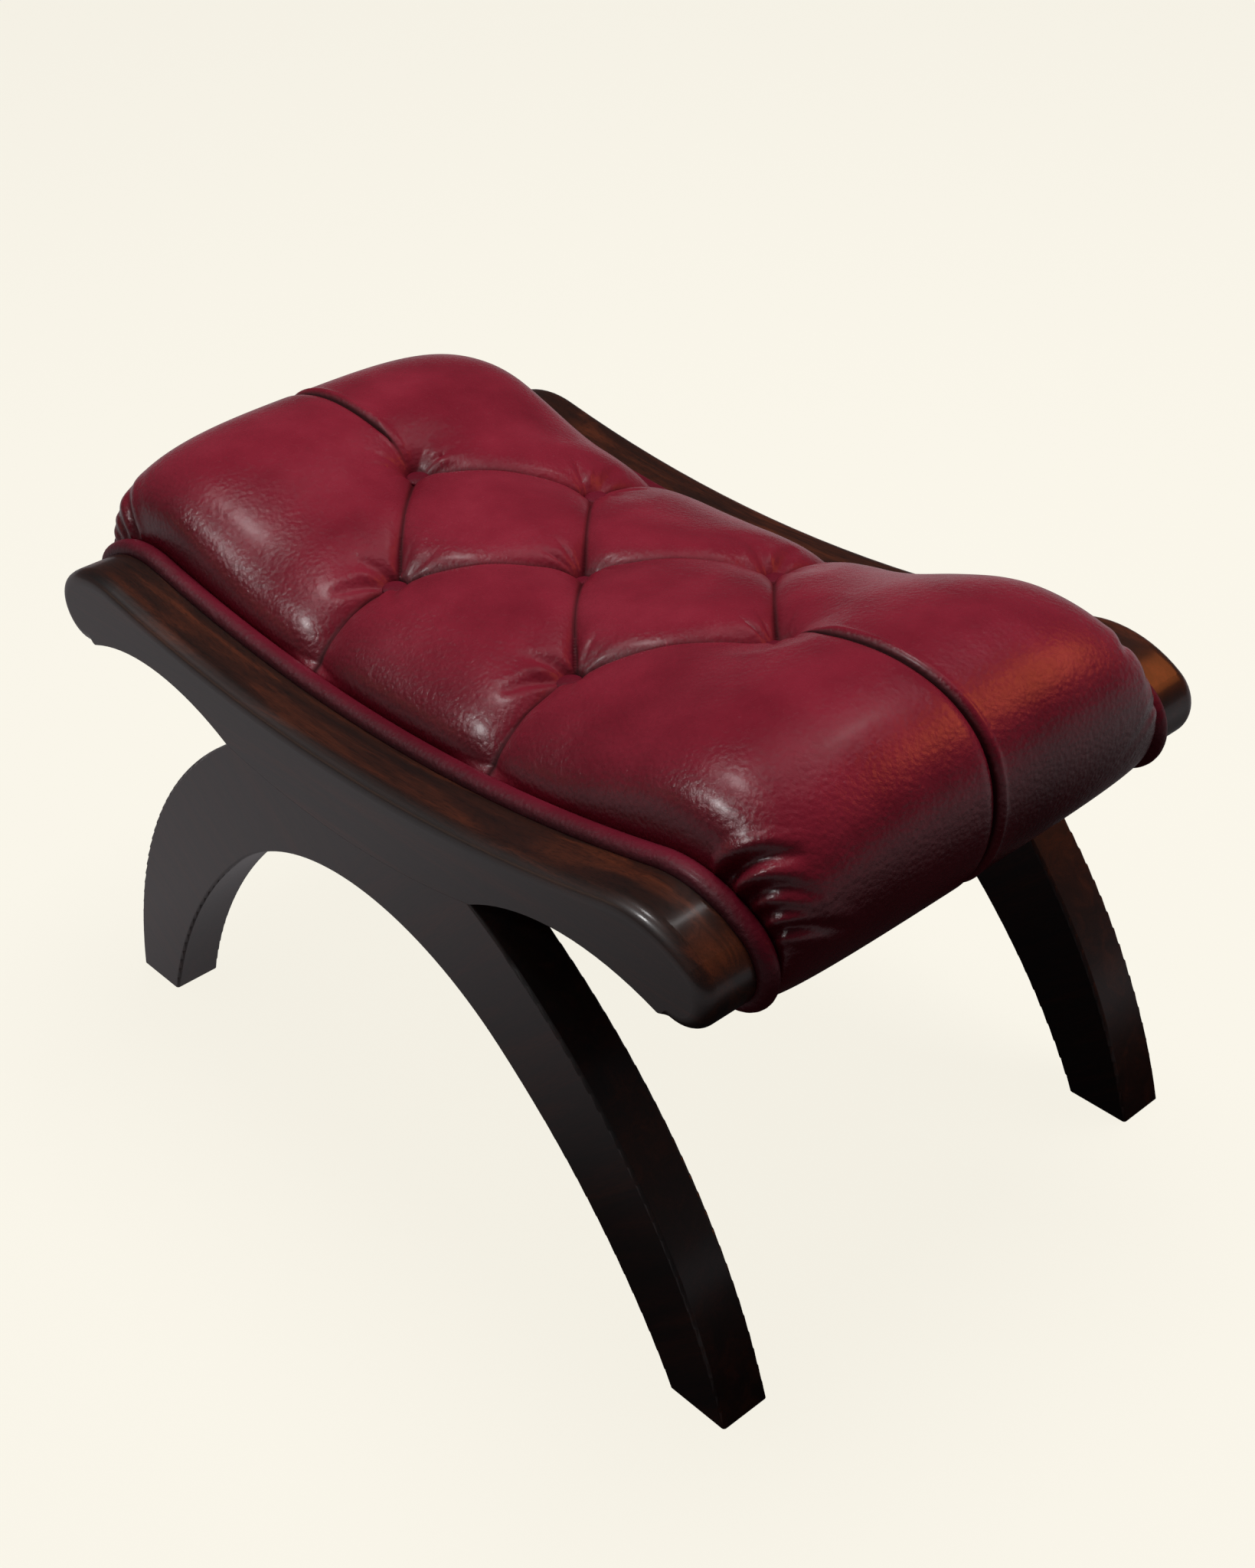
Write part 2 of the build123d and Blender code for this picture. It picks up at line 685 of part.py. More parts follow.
with BuildPart() as tufting_twine:
    for x, y in tuft_places:
        with BuildSketch(saddle_plane(x, y, button_seat_z - camber_at(y))):
            RegularPolygon(twine_diameter / 2, twine_sides)
        extrude(amount=camber_at(y) - button_axis_length)
        with BuildSketch(saddle_plane(x, y, button_seat_z - button_axis_length)):
            RegularPolygon(knot_diameter / 2, twine_sides)
        extrude(amount=-knot_height)
finish(tufting_twine, "tufting_twine")

with BuildPart() as tufting_washers:
    for x, y in tuft_places:
        with BuildSketch(saddle_plane(x, y, button_seat_z - button_axis_length)):
            RegularPolygon(washer_diameter / 2, washer_sides)
            RegularPolygon(twine_bore_radius, twine_sides, mode=Mode.SUBTRACT)
        extrude(amount=washer_thickness)
finish(tufting_washers, "tufting_washers")


# Piping: a leather tube round a cord, along the saddle and round both scrolls
def piping_tube(name, side, radius, facets, bore_radius):
    """Tube that follows the inner edge of a rail, hollow where it has a bore."""
    tail = on_circle(scroll_center, piping_scroll_radius, piping_tail_angle)
    with BuildPart() as tube:
        with BuildLine() as route:
            saddle_arc(rail_top_z + piping_lift, 0.0, crest_start(piping_lift)[0])
            arc_about(crest_circle(0.0)[0], crest_start(piping_lift), crest_end(piping_lift))
            arc_about(scroll_center, crest_end(piping_lift), tail)
            mirror(about=Plane.YZ)
        wire = Wire(route.edges()).moved(Location(across(side * piping_y)))
        with BuildSketch(Plane(origin=wire @ 0, z_dir=wire % 0)):
            RegularPolygon(radius, facets)
            if bore_radius > 0:
                RegularPolygon(bore_radius, piping_cord_sides, mode=Mode.SUBTRACT)
        sweep(path=wire)
    finish(tube, name)


for side, word in sides:
    piping_tube(f"piping_{word}", side, piping_radius, piping_sides, piping_bore_radius)
    piping_tube(f"piping_cord_{word}", side, piping_bore_radius - layer_gap, piping_cord_sides, 0)
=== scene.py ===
# %% [markdown]
# # A deep-buttoned leather footstool on two mahogany saddle frames
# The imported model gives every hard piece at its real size: two rails with scrolled ends, four half-arch legs,
# the seat frame and its fixings. This lesson dresses them in their real finishes and models what is soft:
# the buttoned leather seat, its covered buttons, the piping along both rails and the cloth under the seat.

# %% Load the frame
import math

import bpy
import numpy as np
from mathutils import Matrix, Vector


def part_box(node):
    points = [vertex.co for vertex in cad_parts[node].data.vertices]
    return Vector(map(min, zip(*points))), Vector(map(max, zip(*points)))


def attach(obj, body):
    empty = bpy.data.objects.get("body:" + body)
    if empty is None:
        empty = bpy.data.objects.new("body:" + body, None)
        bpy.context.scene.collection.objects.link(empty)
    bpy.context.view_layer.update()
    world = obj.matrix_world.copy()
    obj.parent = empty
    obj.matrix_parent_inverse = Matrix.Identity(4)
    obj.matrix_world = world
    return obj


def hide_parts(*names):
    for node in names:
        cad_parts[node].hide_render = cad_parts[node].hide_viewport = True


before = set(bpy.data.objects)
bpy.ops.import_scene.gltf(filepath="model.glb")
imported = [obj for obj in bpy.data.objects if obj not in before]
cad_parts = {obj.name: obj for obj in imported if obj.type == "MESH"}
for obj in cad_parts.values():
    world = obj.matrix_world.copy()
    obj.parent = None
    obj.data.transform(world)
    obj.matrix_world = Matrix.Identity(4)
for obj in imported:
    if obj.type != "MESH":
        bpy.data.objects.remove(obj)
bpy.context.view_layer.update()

# %% [markdown]
# Lengths are in metres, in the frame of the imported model: X along the rails, Y across the stool, Z up.
# The values that the soft pieces share with the frame are named once here. Those that the frame can tell
# are read from it, so that a seat or a welt stays on the piece that carries it.

# %% Sizes shared with the frame
MM = 0.001
rail_top = 301 * MM
saddle_radius = 1070 * MM
saddle_half = 232 * MM
scroll_x, scroll_z, scroll_radius = 280 * MM, 294 * MM, 24 * MM
welt_radius = 6.5 * MM
welt_lift = 1.0 * MM
welt_y = (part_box("piping_far")[0].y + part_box("piping_far")[1].y) / 2
seat_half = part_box("leather_cover")[1].y
saddle_center = rail_top + saddle_radius
BUTTON_RADIUS = 8 * MM
tuft_x, tuft_y = 80 * MM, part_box("button_5")[0].y + BUTTON_RADIUS
deck_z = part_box("deck_cloth")[0].z
print("seat half width", round(seat_half, 4), "welt at y", round(welt_y, 4), "deck", round(deck_z, 4))

# %% [markdown]
# Five small helpers are used everywhere. One turns an sRGB hex value, as read off a paint chart, to the
# linear colour that a shader wants. One adds a shader node with its settings, its links and the stops of a
# colour ramp. One starts an empty material. One clears the selection, because every operator acts on all
# that is selected. The last gives a new piece its finish, its slot and its body.


# %% Helpers
def linear(code):
    """Linear RGBA of an sRGB hex value."""
    channels = [int(code[i : i + 2], 16) / 255 for i in (1, 3, 5)]
    return [c / 12.92 if c <= 0.04045 else ((c + 0.055) / 1.055) ** 2.4 for c in channels] + [1.0]


def node(tree, kind, settings=None, stops=(), **inputs):
    """Add a shader node; an input is a value, a hex colour or the socket that it is linked to.

    A colour ramp also has stops, each a place and a hex colour.
    """
    made = tree.nodes.new(kind)
    for name, value in (settings or {}).items():
        setattr(made, name, value)
    if stops:
        elements = made.color_ramp.elements
        while len(elements) < len(stops):
            elements.new(1.0)
        for element, (place, code) in zip(elements, stops):
            element.position = place
            element.color = linear(code)
    for name, value in inputs.items():
        socket = made.inputs[int(name[1:])] if name[1:].isdigit() else made.inputs[name.replace("_", " ")]
        if isinstance(value, bpy.types.NodeSocket):
            tree.links.new(value, socket)
        elif isinstance(value, str):
            socket.default_value = linear(value)
        else:
            socket.default_value = value
    return made


def new_material(name):
    """Empty material with its tree and its output node."""
    material = bpy.data.materials.new(name)
    material.use_nodes = True
    material.node_tree.nodes.clear()
    return material, material.node_tree, material.node_tree.nodes.new("ShaderNodeOutputMaterial")


def deselect():
    """Leave edit mode and clear the selection."""
    if bpy.context.object and bpy.context.object.mode != "OBJECT":
        bpy.ops.object.mode_set(mode="OBJECT")
    bpy.ops.object.select_all(action="DESELECT")


def dress(obj, material):
    """Give a new piece its finish and its body."""
    obj.data.materials.clear()
    obj.data.materials.append(material)
    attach(obj, "root")
    print(obj.name, len(obj.data.polygons), "faces")


# %% [markdown]
# The camera stands where the photographer stood: above the seat and off the front near corner, with a
# long-ish lens. Its place and turn were worked out from the corners of the feet and the lines of the rails.
# The slight roll is a hand-held camera's. The photographed stool's far frame stands a little higher than its
# near one, while the model's frames are alike, so this camera is a compromise between the two.

# %% Camera
camera_place = Vector((0.92853, -0.73988, 0.96856))
camera_azimuth, camera_height, camera_roll = (math.radians(a) for a in (-39.370, 33.132, -4.238))
focal_pixels, image_height, sensor = 2946.6, 2048, 36.0
toward = Vector(
    (
        math.cos(camera_height) * math.cos(camera_azimuth),
        math.cos(camera_height) * math.sin(camera_azimuth),
        math.sin(camera_height),
    )
)
level_right = (-toward).cross(Vector((0, 0, 1))).normalized()
level_up = level_right.cross(-toward)
right = level_right * math.cos(camera_roll) + level_up * math.sin(camera_roll)
up = level_up * math.cos(camera_roll) - level_right * math.sin(camera_roll)
camera_data = bpy.data.cameras.new("camera")
camera_data.sensor_width = sensor
camera_data.lens = sensor * focal_pixels / image_height
camera = bpy.data.objects.new("camera", camera_data)
bpy.context.scene.collection.objects.link(camera)
camera.matrix_world = Matrix.Translation(camera_place) @ Matrix((right, up, toward)).transposed().to_4x4()
bpy.context.scene.camera = camera
print("lens", round(camera_data.lens, 2), "mm")

# %% [markdown]
# A studio is a pale sweep and a few soft lamps. Two of them only shade: a broad ceiling, and a fill wall on
# the near left. The others only shine, and stand where the highlights ask for them: a high window, a near
# window, a far strip, a low lamp, and a warm wall that gives the orange glow on the front roll. The sweep is
# cream for the camera alone. A glossy ray sees it glow grey, a painted reflection, with a painted shadow that
# darkens it under the stool; this isn't a physical floor but brings the polish nearer to the photograph's.
# Every other ray finds it dark grey, so that it throws little light back onto the stool.

# %% Floor, backdrop and lamps
CREAM = "#f8f4e8"
SHADE_MIDDLE = (0.35, 0.0, 0.0)
SHADE_REACH, SHEEN_REACH = 0.34, 0.75
scene = bpy.context.scene
scene.view_settings.view_transform = "Standard"

deselect()
bpy.ops.mesh.primitive_plane_add(size=14, location=(0, 0, 0))
floor = bpy.context.object
floor.name = "studio_floor"
paper, tree, out = new_material("cream_paper_floor")
rays = node(tree, "ShaderNodeLightPath")
lit = node(tree, "ShaderNodeBsdfDiffuse", Color=CREAM)
glow = node(tree, "ShaderNodeEmission", Color=CREAM, Strength=1.06)
both = node(tree, "ShaderNodeMixShader", _0=0.9, _1=lit.outputs[0], _2=glow.outputs[0])
dim = node(tree, "ShaderNodeBsdfDiffuse", Color="#4a463f")
# painted shadow for reflections: the floor that glossy rays see fades dark toward the stool, around
# SHADE_MIDDLE
spot_place = node(tree, "ShaderNodeTexCoord").outputs["Object"]
away = node(tree, "ShaderNodeVectorMath", {"operation": "DISTANCE"}, _0=spot_place, _1=SHADE_MIDDLE)
clear = node(
    tree,
    "ShaderNodeMapRange",
    Value=away.outputs["Value"],
    From_Min=SHADE_REACH,
    From_Max=SHEEN_REACH,
    To_Min=0.03,
    To_Max=1.0,
)
# painted reflection: glossy rays see the floor glow grey
painted_floor_reflection = node(tree, "ShaderNodeEmission", Color="#9c9799", Strength=clear.outputs[0])
unseen = node(
    tree, "ShaderNodeMixShader", _0=rays.outputs["Is Glossy Ray"], _1=dim.outputs[0], _2=painted_floor_reflection.outputs[0]
)
pick = node(
    tree, "ShaderNodeMixShader", _0=rays.outputs["Is Camera Ray"], _1=unseen.outputs[0], _2=both.outputs[0]
)
tree.links.new(pick.outputs[0], out.inputs["Surface"])
floor.data.materials.append(paper)

world = bpy.data.worlds.new("studio")
scene.world = world
world.use_nodes = True
tree = world.node_tree
tree.nodes.clear()
out = tree.nodes.new("ShaderNodeOutputWorld")
rays = node(tree, "ShaderNodeLightPath")
seen = node(tree, "ShaderNodeBackground", Color=CREAM, Strength=1.0)
room = node(tree, "ShaderNodeBackground", Color="#8f8d90", Strength=0.16)
pick = node(
    tree, "ShaderNodeMixShader", _0=rays.outputs["Is Camera Ray"], _1=room.outputs[0], _2=seen.outputs[0]
)
tree.links.new(pick.outputs[0], out.inputs["Surface"])


SEAT_MIDDLE = Vector((0.1, 0, 0.33))


def lamp(name, bearing, height, distance, size, power, code="#ffffff", shade=True, shine=True):
    """Soft rectangular lamp that faces the seat, from a bearing and height in degrees.

    It can be left out of shading or of reflections.
    """
    a, h = math.radians(bearing), math.radians(height)
    offset = Vector((math.cos(h) * math.cos(a), math.cos(h) * math.sin(a), math.sin(h))) * distance
    place = SEAT_MIDDLE + offset
    data = bpy.data.lights.new(name, "AREA")
    data.shape = "RECTANGLE"
    data.size, data.size_y = size
    data.energy = power
    data.color = linear(code)[:3]
    made = bpy.data.objects.new(name, data)
    scene.collection.objects.link(made)
    made.location = place
    made.rotation_euler = (SEAT_MIDDLE - place).to_track_quat("-Z", "Y").to_euler()
    made.visible_diffuse = shade
    made.visible_glossy = shine


lamp("ceiling", 110, 76, 2.2, (1.3, 1.3), 42, shine=False)
lamp("fill_wall", -150, 35, 2.4, (1.5, 1.0), 4, shine=False)
lamp("high_window", -141, 64, 2.3, (0.35, 0.3), 7, shade=False)
lamp("near_window", -117, 36, 2.3, (0.14, 0.3), 12, shade=False)
lamp("far_strip", 98, 60, 2.3, (0.12, 0.4), 1.3, shade=False)
lamp("low_lamp", -134, 8, 2.3, (0.5, 0.25), 0.3, "#ffc090", shade=False)
lamp("warm_wall", 62, 36, 2.0, (1.0, 0.7), 7, "#ff8a44", shade=False)

# %% [markdown]
# Oxblood leather is aniline-dyed hide with a waxed gloss. The dye soaks in unevenly. The folds are painted
# darker, shade painted into the creases and darkest in their narrow slits. The hide's grain is a net of fine
# cells about a millimetre across, which breaks the edges of each highlight, and longer creases show where the
# hide is drawn in. Cell-edge noise gives the grain, ordinary noise the creases and softer cells the pebbles
# between them. How dark each fold is painted comes from the seat's own attribute.


# %% Oxblood leather
def oxblood_leather(name, folds):
    """Leather; folds says if it has a fold shade attribute; without it, darker tones paint shade on the
    tucked-in trim.
    """
    material, tree, out = new_material(name)
    place = node(tree, "ShaderNodeTexCoord").outputs["Object"]
    # clouds of dye, 60 mm across
    clouds = node(tree, "ShaderNodeTexNoise", Vector=place, Scale=1 / 0.06, Detail=4.0, Roughness=0.55)
    # without folds the tones are darker: painted shade for the piping and buttons, which sit under the seat's
    # edge and in its pits
    tones = ("#7c192a", "#8e2234", "#9e2e40") if folds else ("#5c0e1e", "#6c1527", "#7a1b30")
    stops = list(zip((0.3, 0.55, 0.8), tones))
    dye_and_shading = node(tree, "ShaderNodeValToRGB", stops=stops, Fac=clouds.outputs["Fac"]).outputs["Color"]
    if folds:
        # painted shade: the seat's fold attribute mixes the folds and their slits toward a near-black red
        shade_in_folds = node(tree, "ShaderNodeAttribute", {"attribute_name": "painted_fold_shade"})
        dye_and_shading = node(
            tree,
            "ShaderNodeMix",
            {"data_type": "RGBA"},
            Factor=shade_in_folds.outputs["Fac"],
            _6=dye_and_shading,
            _7="#2a0406",
        )
        dye_and_shading = dye_and_shading.outputs[2]
        open_skin = node(
            tree,
            "ShaderNodeMath",
            {"operation": "SUBTRACT", "use_clamp": True},
            _0=1.0,
            _1=shade_in_folds.outputs["Fac"],
        )
        shine = node(tree, "ShaderNodeMath", {"operation": "POWER"}, _0=open_skin.outputs[0], _1=2.0)
    # grain cells, 1.1 mm across
    cells = node(
        tree,
        "ShaderNodeTexVoronoi",
        {"feature": "DISTANCE_TO_EDGE"},
        Vector=place,
        Scale=1 / 0.0011,
        Randomness=1.0,
    )
    net = node(tree, "ShaderNodeMath", {"operation": "MINIMUM"}, _0=cells.outputs["Distance"], _1=0.2)
    # creases, 5 mm apart
    crease = node(
        tree,
        "ShaderNodeTexNoise",
        Vector=place,
        Scale=1 / 0.005,
        Detail=5.0,
        Roughness=0.6,
        Distortion=0.6,
    )
    # pebbles between the creases, 3 mm across
    pebbles = node(
        tree, "ShaderNodeTexVoronoi", {"feature": "SMOOTH_F1"}, Vector=place, Scale=1 / 0.003, Smoothness=0.6
    )
    fine = node(tree, "ShaderNodeBump", Height=net.outputs[0], Strength=0.5, Distance=0.0003)
    middle = node(
        tree,
        "ShaderNodeBump",
        {"invert": True},
        Height=pebbles.outputs["Distance"],
        Normal=fine.outputs[0],
        Strength=0.45,
        Distance=0.0006,
    )
    coarse = node(
        tree,
        "ShaderNodeBump",
        Height=crease.outputs["Fac"],
        Normal=middle.outputs[0],
        Strength=0.5,
        Distance=0.0007,
    )
    low, high = (0.17, 0.35) if folds else (0.4, 0.55)
    gloss = node(tree, "ShaderNodeMapRange", Value=crease.outputs["Fac"], To_Min=low, To_Max=high).outputs[0]
    coat = 0.05
    if folds:
        # the wax is rubbed only on the open skin, so a fold is matt
        coat = node(tree, "ShaderNodeMath", {"operation": "MULTIPLY"}, _0=shine.outputs[0], _1=0.2).outputs[0]
        gloss = node(
            tree,
            "ShaderNodeMath",
            {"operation": "MULTIPLY_ADD", "use_clamp": True},
            _0=shade_in_folds.outputs["Fac"],
            _1=0.75,
            _2=gloss,
        ).outputs[0]
    skin = node(
        tree,
        "ShaderNodeBsdfPrincipled",
        Base_Color=dye_and_shading,
        Roughness=gloss,
        Normal=coarse.outputs[0],
        Specular_IOR_Level=0.38 if folds else 0.3,
        Coat_Weight=coat,
        Coat_Roughness=0.2,
    )
    tree.links.new(skin.outputs[0], out.inputs["Surface"])
    return material


seat_leather = oxblood_leather("oxblood_seat_leather", True)
shaded_trim_leather = oxblood_leather("oxblood_shaded_trim", False)

# %% [markdown]
# Mahogany is stained nearly black-brown and French-polished: many thin coats of shellac rubbed to a clear,
# level gloss. The eye gets a dark ground with red-brown figure that shows only where light strikes it, and
# sharp reflections from the film above. Straight grain is noise drawn out along the board. Each board is
# sawn along its own length, so each leg has its own grain angle.


# %% Polished mahogany
def polished_mahogany(name, grain_angle, tones):
    """Mahogany with its grain in the XZ plane, grain_angle degrees from +X, in three tones."""
    material, tree, out = new_material(name)
    place = node(tree, "ShaderNodeTexCoord").outputs["Object"]
    board = node(tree, "ShaderNodeMapping", Vector=place, Rotation=(0, math.radians(grain_angle), 0))
    # figure 14 mm wide and 200 mm long, pores 0.5 mm wide and 12 mm long
    figure_scale = node(tree, "ShaderNodeMapping", Vector=board.outputs[0], Scale=(5, 70, 70))
    figure = node(
        tree,
        "ShaderNodeTexNoise",
        Vector=figure_scale.outputs[0],
        Scale=1.0,
        Detail=5.0,
        Roughness=0.6,
        Distortion=0.8,
    )
    pore_scale = node(tree, "ShaderNodeMapping", Vector=board.outputs[0], Scale=(80, 1400, 1400))
    pores = node(
        tree,
        "ShaderNodeTexNoise",
        Vector=pore_scale.outputs[0],
        Scale=1.0,
        Detail=2.0,
        Roughness=0.5,
    )
    stops = list(zip((0.3, 0.5, 0.72), tones))
    wood = node(tree, "ShaderNodeValToRGB", stops=stops, Fac=figure.outputs["Fac"]).outputs["Color"]
    stops = [(0.35, "#0a0503"), (0.5, "#ffffff")]
    dark = node(tree, "ShaderNodeValToRGB", stops=stops, Fac=pores.outputs["Fac"]).outputs["Color"]
    stained = node(
        tree, "ShaderNodeMix", {"data_type": "RGBA", "blend_type": "MULTIPLY"}, Factor=0.45, _6=wood, _7=dark
    )
    # the polish follows the board's slight ripple, 25 mm across
    ripple = node(tree, "ShaderNodeTexNoise", Vector=place, Scale=1 / 0.025, Detail=2.0)
    film = node(tree, "ShaderNodeBump", Height=ripple.outputs["Fac"], Strength=0.15, Distance=0.0006)
    polish = node(
        tree,
        "ShaderNodeBsdfPrincipled",
        Base_Color=stained.outputs[2],
        Roughness=0.45,
        Normal=film.outputs[0],
        Coat_Weight=0.5,
        Coat_Roughness=0.18,
        Coat_Normal=film.outputs[0],
    )
    tree.links.new(polish.outputs[0], out.inputs["Surface"])
    return material


rail_wood = polished_mahogany("french_polished_mahogany_rail", 0, ("#1a0b06", "#34160b", "#5e2b16"))
leg_tones = ("#1f0b06", "#33140b", "#522412")
leg_woods = {
    "front": polished_mahogany("french_polished_mahogany_front_leg", 42, leg_tones),
    "back": polished_mahogany("french_polished_mahogany_back_leg", -42, leg_tones),
}

# %% [markdown]
# The pieces under the seat have plain workshop finishes: planed beech for the frame, bright zinc for the
# screws, brown jute webbing, open hessian, black cambric, cream foam, waxed linen twine and pressed fibre.
# The cloths are drawn by crossed waves at their real thread spacing.


# %% Workshop materials
def planed_beech():
    """Bare beech with short dark flecks along X."""
    material, tree, out = new_material("planed_beech")
    place = node(tree, "ShaderNodeTexCoord").outputs["Object"]
    long = node(tree, "ShaderNodeMapping", Vector=place, Scale=(12, 160, 160))
    grain = node(tree, "ShaderNodeTexNoise", Vector=long.outputs[0], Scale=1.0, Detail=5.0)
    fleck_scale = node(tree, "ShaderNodeMapping", Vector=place, Scale=(300, 1500, 1500))
    flecks = node(tree, "ShaderNodeTexNoise", Vector=fleck_scale.outputs[0], Scale=1.0, Detail=1.0)
    stops = [(0.3, "#b88a5e"), (0.6, "#cda577"), (0.8, "#d9b68b")]
    wood = node(tree, "ShaderNodeValToRGB", stops=stops, Fac=grain.outputs["Fac"]).outputs["Color"]
    stops = [(0.36, "#8d6038"), (0.44, "#ffffff")]
    dark = node(tree, "ShaderNodeValToRGB", stops=stops, Fac=flecks.outputs["Fac"]).outputs["Color"]
    both = node(
        tree,
        "ShaderNodeMix",
        {"data_type": "RGBA", "blend_type": "MULTIPLY"},
        Factor=0.6,
        _6=wood,
        _7=dark,
    )
    bump = node(tree, "ShaderNodeBump", Height=grain.outputs["Fac"], Strength=0.2, Distance=0.0002)
    skin = node(
        tree, "ShaderNodeBsdfPrincipled", Base_Color=both.outputs[2], Roughness=0.62, Normal=bump.outputs[0]
    )
    tree.links.new(skin.outputs[0], out.inputs["Surface"])
    return material


def woven_cloth(name, thread, light, dark, roughness, relief):
    """Plain weave in the XY plane; thread is the spacing in metres."""
    material, tree, out = new_material(name)
    place = node(tree, "ShaderNodeTexCoord").outputs["Object"]
    turns = 1 / thread / 2
    bands = [
        node(
            tree,
            "ShaderNodeTexWave",
            {"bands_direction": axis},
            Vector=place,
            Scale=turns / 3.14,
            Distortion=0.4,
            Detail=1.0,
        ).outputs["Fac"]
        for axis in "XY"
    ]
    over = node(tree, "ShaderNodeMath", {"operation": "MULTIPLY"}, _0=bands[0], _1=bands[1])
    slub = node(tree, "ShaderNodeTexNoise", Vector=place, Scale=1 / 0.012, Detail=3.0)
    mixed = node(
        tree,
        "ShaderNodeMath",
        {"operation": "MULTIPLY"},
        _0=over.outputs[0],
        _1=slub.outputs["Fac"],
    )
    stops = [(0.0, dark), (0.35, light)]
    colour = node(tree, "ShaderNodeValToRGB", stops=stops, Fac=mixed.outputs[0]).outputs["Color"]
    bump = node(tree, "ShaderNodeBump", Height=over.outputs[0], Strength=0.7, Distance=relief)
    skin = node(
        tree,
        "ShaderNodeBsdfPrincipled",
        Base_Color=colour,
        Roughness=roughness,
        Normal=bump.outputs[0],
    )
    tree.links.new(skin.outputs[0], out.inputs["Surface"])
    return material


def grained_solid(name, light, dark, grain, roughness, relief, metallic=0.0):
    """Solid stuff with a fine noise in its colour and surface; grain is its size in metres."""
    material, tree, out = new_material(name)
    place = node(tree, "ShaderNodeTexCoord").outputs["Object"]
    noise = node(tree, "ShaderNodeTexNoise", Vector=place, Scale=1 / grain, Detail=3.0)
    stops = [(0.35, dark), (0.65, light)]
    colour = node(tree, "ShaderNodeValToRGB", stops=stops, Fac=noise.outputs["Fac"]).outputs["Color"]
    bump = node(tree, "ShaderNodeBump", Height=noise.outputs["Fac"], Strength=0.5, Distance=relief)
    skin = node(
        tree,
        "ShaderNodeBsdfPrincipled",
        Base_Color=colour,
        Roughness=roughness,
        Metallic=metallic,
        Normal=bump.outputs[0],
    )
    tree.links.new(skin.outputs[0], out.inputs["Surface"])
    return material


beech = planed_beech()
jute = woven_cloth("jute_webbing", 0.0022, "#9a7a4c", "#57401f", 0.85, 0.0006)
hessian = woven_cloth("hessian", 0.0018, "#a98a5a", "#5f4a28", 0.9, 0.0005)
cambric = woven_cloth("black_cambric", 0.0007, "#26262a", "#08080a", 0.8, 0.0002)
zinc = grained_solid("zinc_plated_steel", "#b4b6b5", "#8b8d8c", 0.002, 0.35, 0.00005, 1.0)
foam = grained_solid("upholstery_foam", "#e6d6a4", "#c6b27c", 0.0012, 0.95, 0.0004)
twine = grained_solid("waxed_linen_twine", "#b39a6a", "#7c6538", 0.0008, 0.55, 0.0003)
fibre = grained_solid("pressed_fibre", "#5c3a24", "#3a2415", 0.0015, 0.7, 0.0002)

# %% [markdown]
# The hard pieces keep their meshes and take their finish by node name. The rails share one board direction,
# and each pair of legs leans its own way.

# %% Dress the hard pieces
plain_finish = {
    "rail": rail_wood,
    "arch_dowel": beech,
    "rail_dowels": beech,
    "seat_batten": beech,
    "end_rail": beech,
    "corner_block": beech,
    "frame_screws": zinc,
    "webbing_strap": jute,
    "deck_cloth": hessian,
    "dust_cover": cambric,
    "foam_pad": foam,
    "tufting_twine": twine,
    "tufting_washers": fibre,
    "piping_cord": twine,
    "piping": shaded_trim_leather,
    "leather_cover": shaded_trim_leather,
    "button": shaded_trim_leather,
}
for name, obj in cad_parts.items():
    if name.startswith("leg_"):
        finish = leg_woods[name.rsplit("_", 1)[1]]
    else:
        finish = plain_finish[max((key for key in plain_finish if name.startswith(key)), key=len)]
    obj.data.materials.clear()
    obj.data.materials.append(finish)
print("dressed", len(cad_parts), "nodes")

# %% [markdown]
# The seat is one hide drawn over foam. Seen from the side it is a saddle that swells into a roll at each
# end and tucks under the end rails. Its outline is set out here from the front tack line, under the roll,
# round it and up to the middle of the saddle: one line for the middle of the seat, and one for its edge,
# where the hide goes down beside the piping. Smooth curves through a few given points join them.

# %% Outline of the seat
CROWN = 59 * MM
EDGE = 2 * MM


def saddle_at(x, rise):
    """Height at x of a line that keeps its distance above the rails' saddle."""
    radius = saddle_radius - rise
    return saddle_center - math.sqrt(radius * radius - x * x)


middle_roll = [
    (232, 264), (253, 260.5), (271, 257.5), (285, 259), (298, 266.5),
    (309.5, 281), (317.5, 300), (320.5, 321), (318, 343), (309, 361.5),
    (293, 375.5), (272, 384), (247, 387.5), (220, 386), (192, 380.5),
]
edge_roll = [
    (232, 264.5), (254, 263.5), (274, 262), (287, 265), (296, 275),
    (302.5, 283.5), (305, 293), (304.5, 300), (301.5, 307), (294, 314.5),
    (283, 319), (268, 323.5), (248, 327), (226, 327), (196, 321.2),
]
crown_x = (160, 120, 80, 40, 0)
SPAN_POINTS = 24


def outline_points(roll, rise):
    """One line of the outline, front half: its roll, then a line at a rise above the rails' saddle."""
    return [(x * MM, z * MM) for x, z in roll] + [(x * MM, saddle_at(x * MM, rise)) for x in crown_x]


def smooth_through(points):
    """Points on a smooth curve through the given ones and their mirror images."""
    whole = np.array(points + [(-x, z) for x, z in reversed(points[:-1])])
    count = len(whole)
    padded = np.vstack([2 * whole[0] - whole[1], whole, 2 * whole[-1] - whole[-2]])
    dense = []
    for k in range(count - 1):
        a, b, c, d = padded[k : k + 4]
        t = np.linspace(0, 1, SPAN_POINTS, endpoint=False)[:, None]
        square = (2 * a - 5 * b + 4 * c - d) * t**2
        cube = (3 * b - a - 3 * c + d) * t**3
        dense.append(0.5 * (2 * b + (c - a) * t + square + cube))
    return np.vstack(dense + [whole[-1:]])


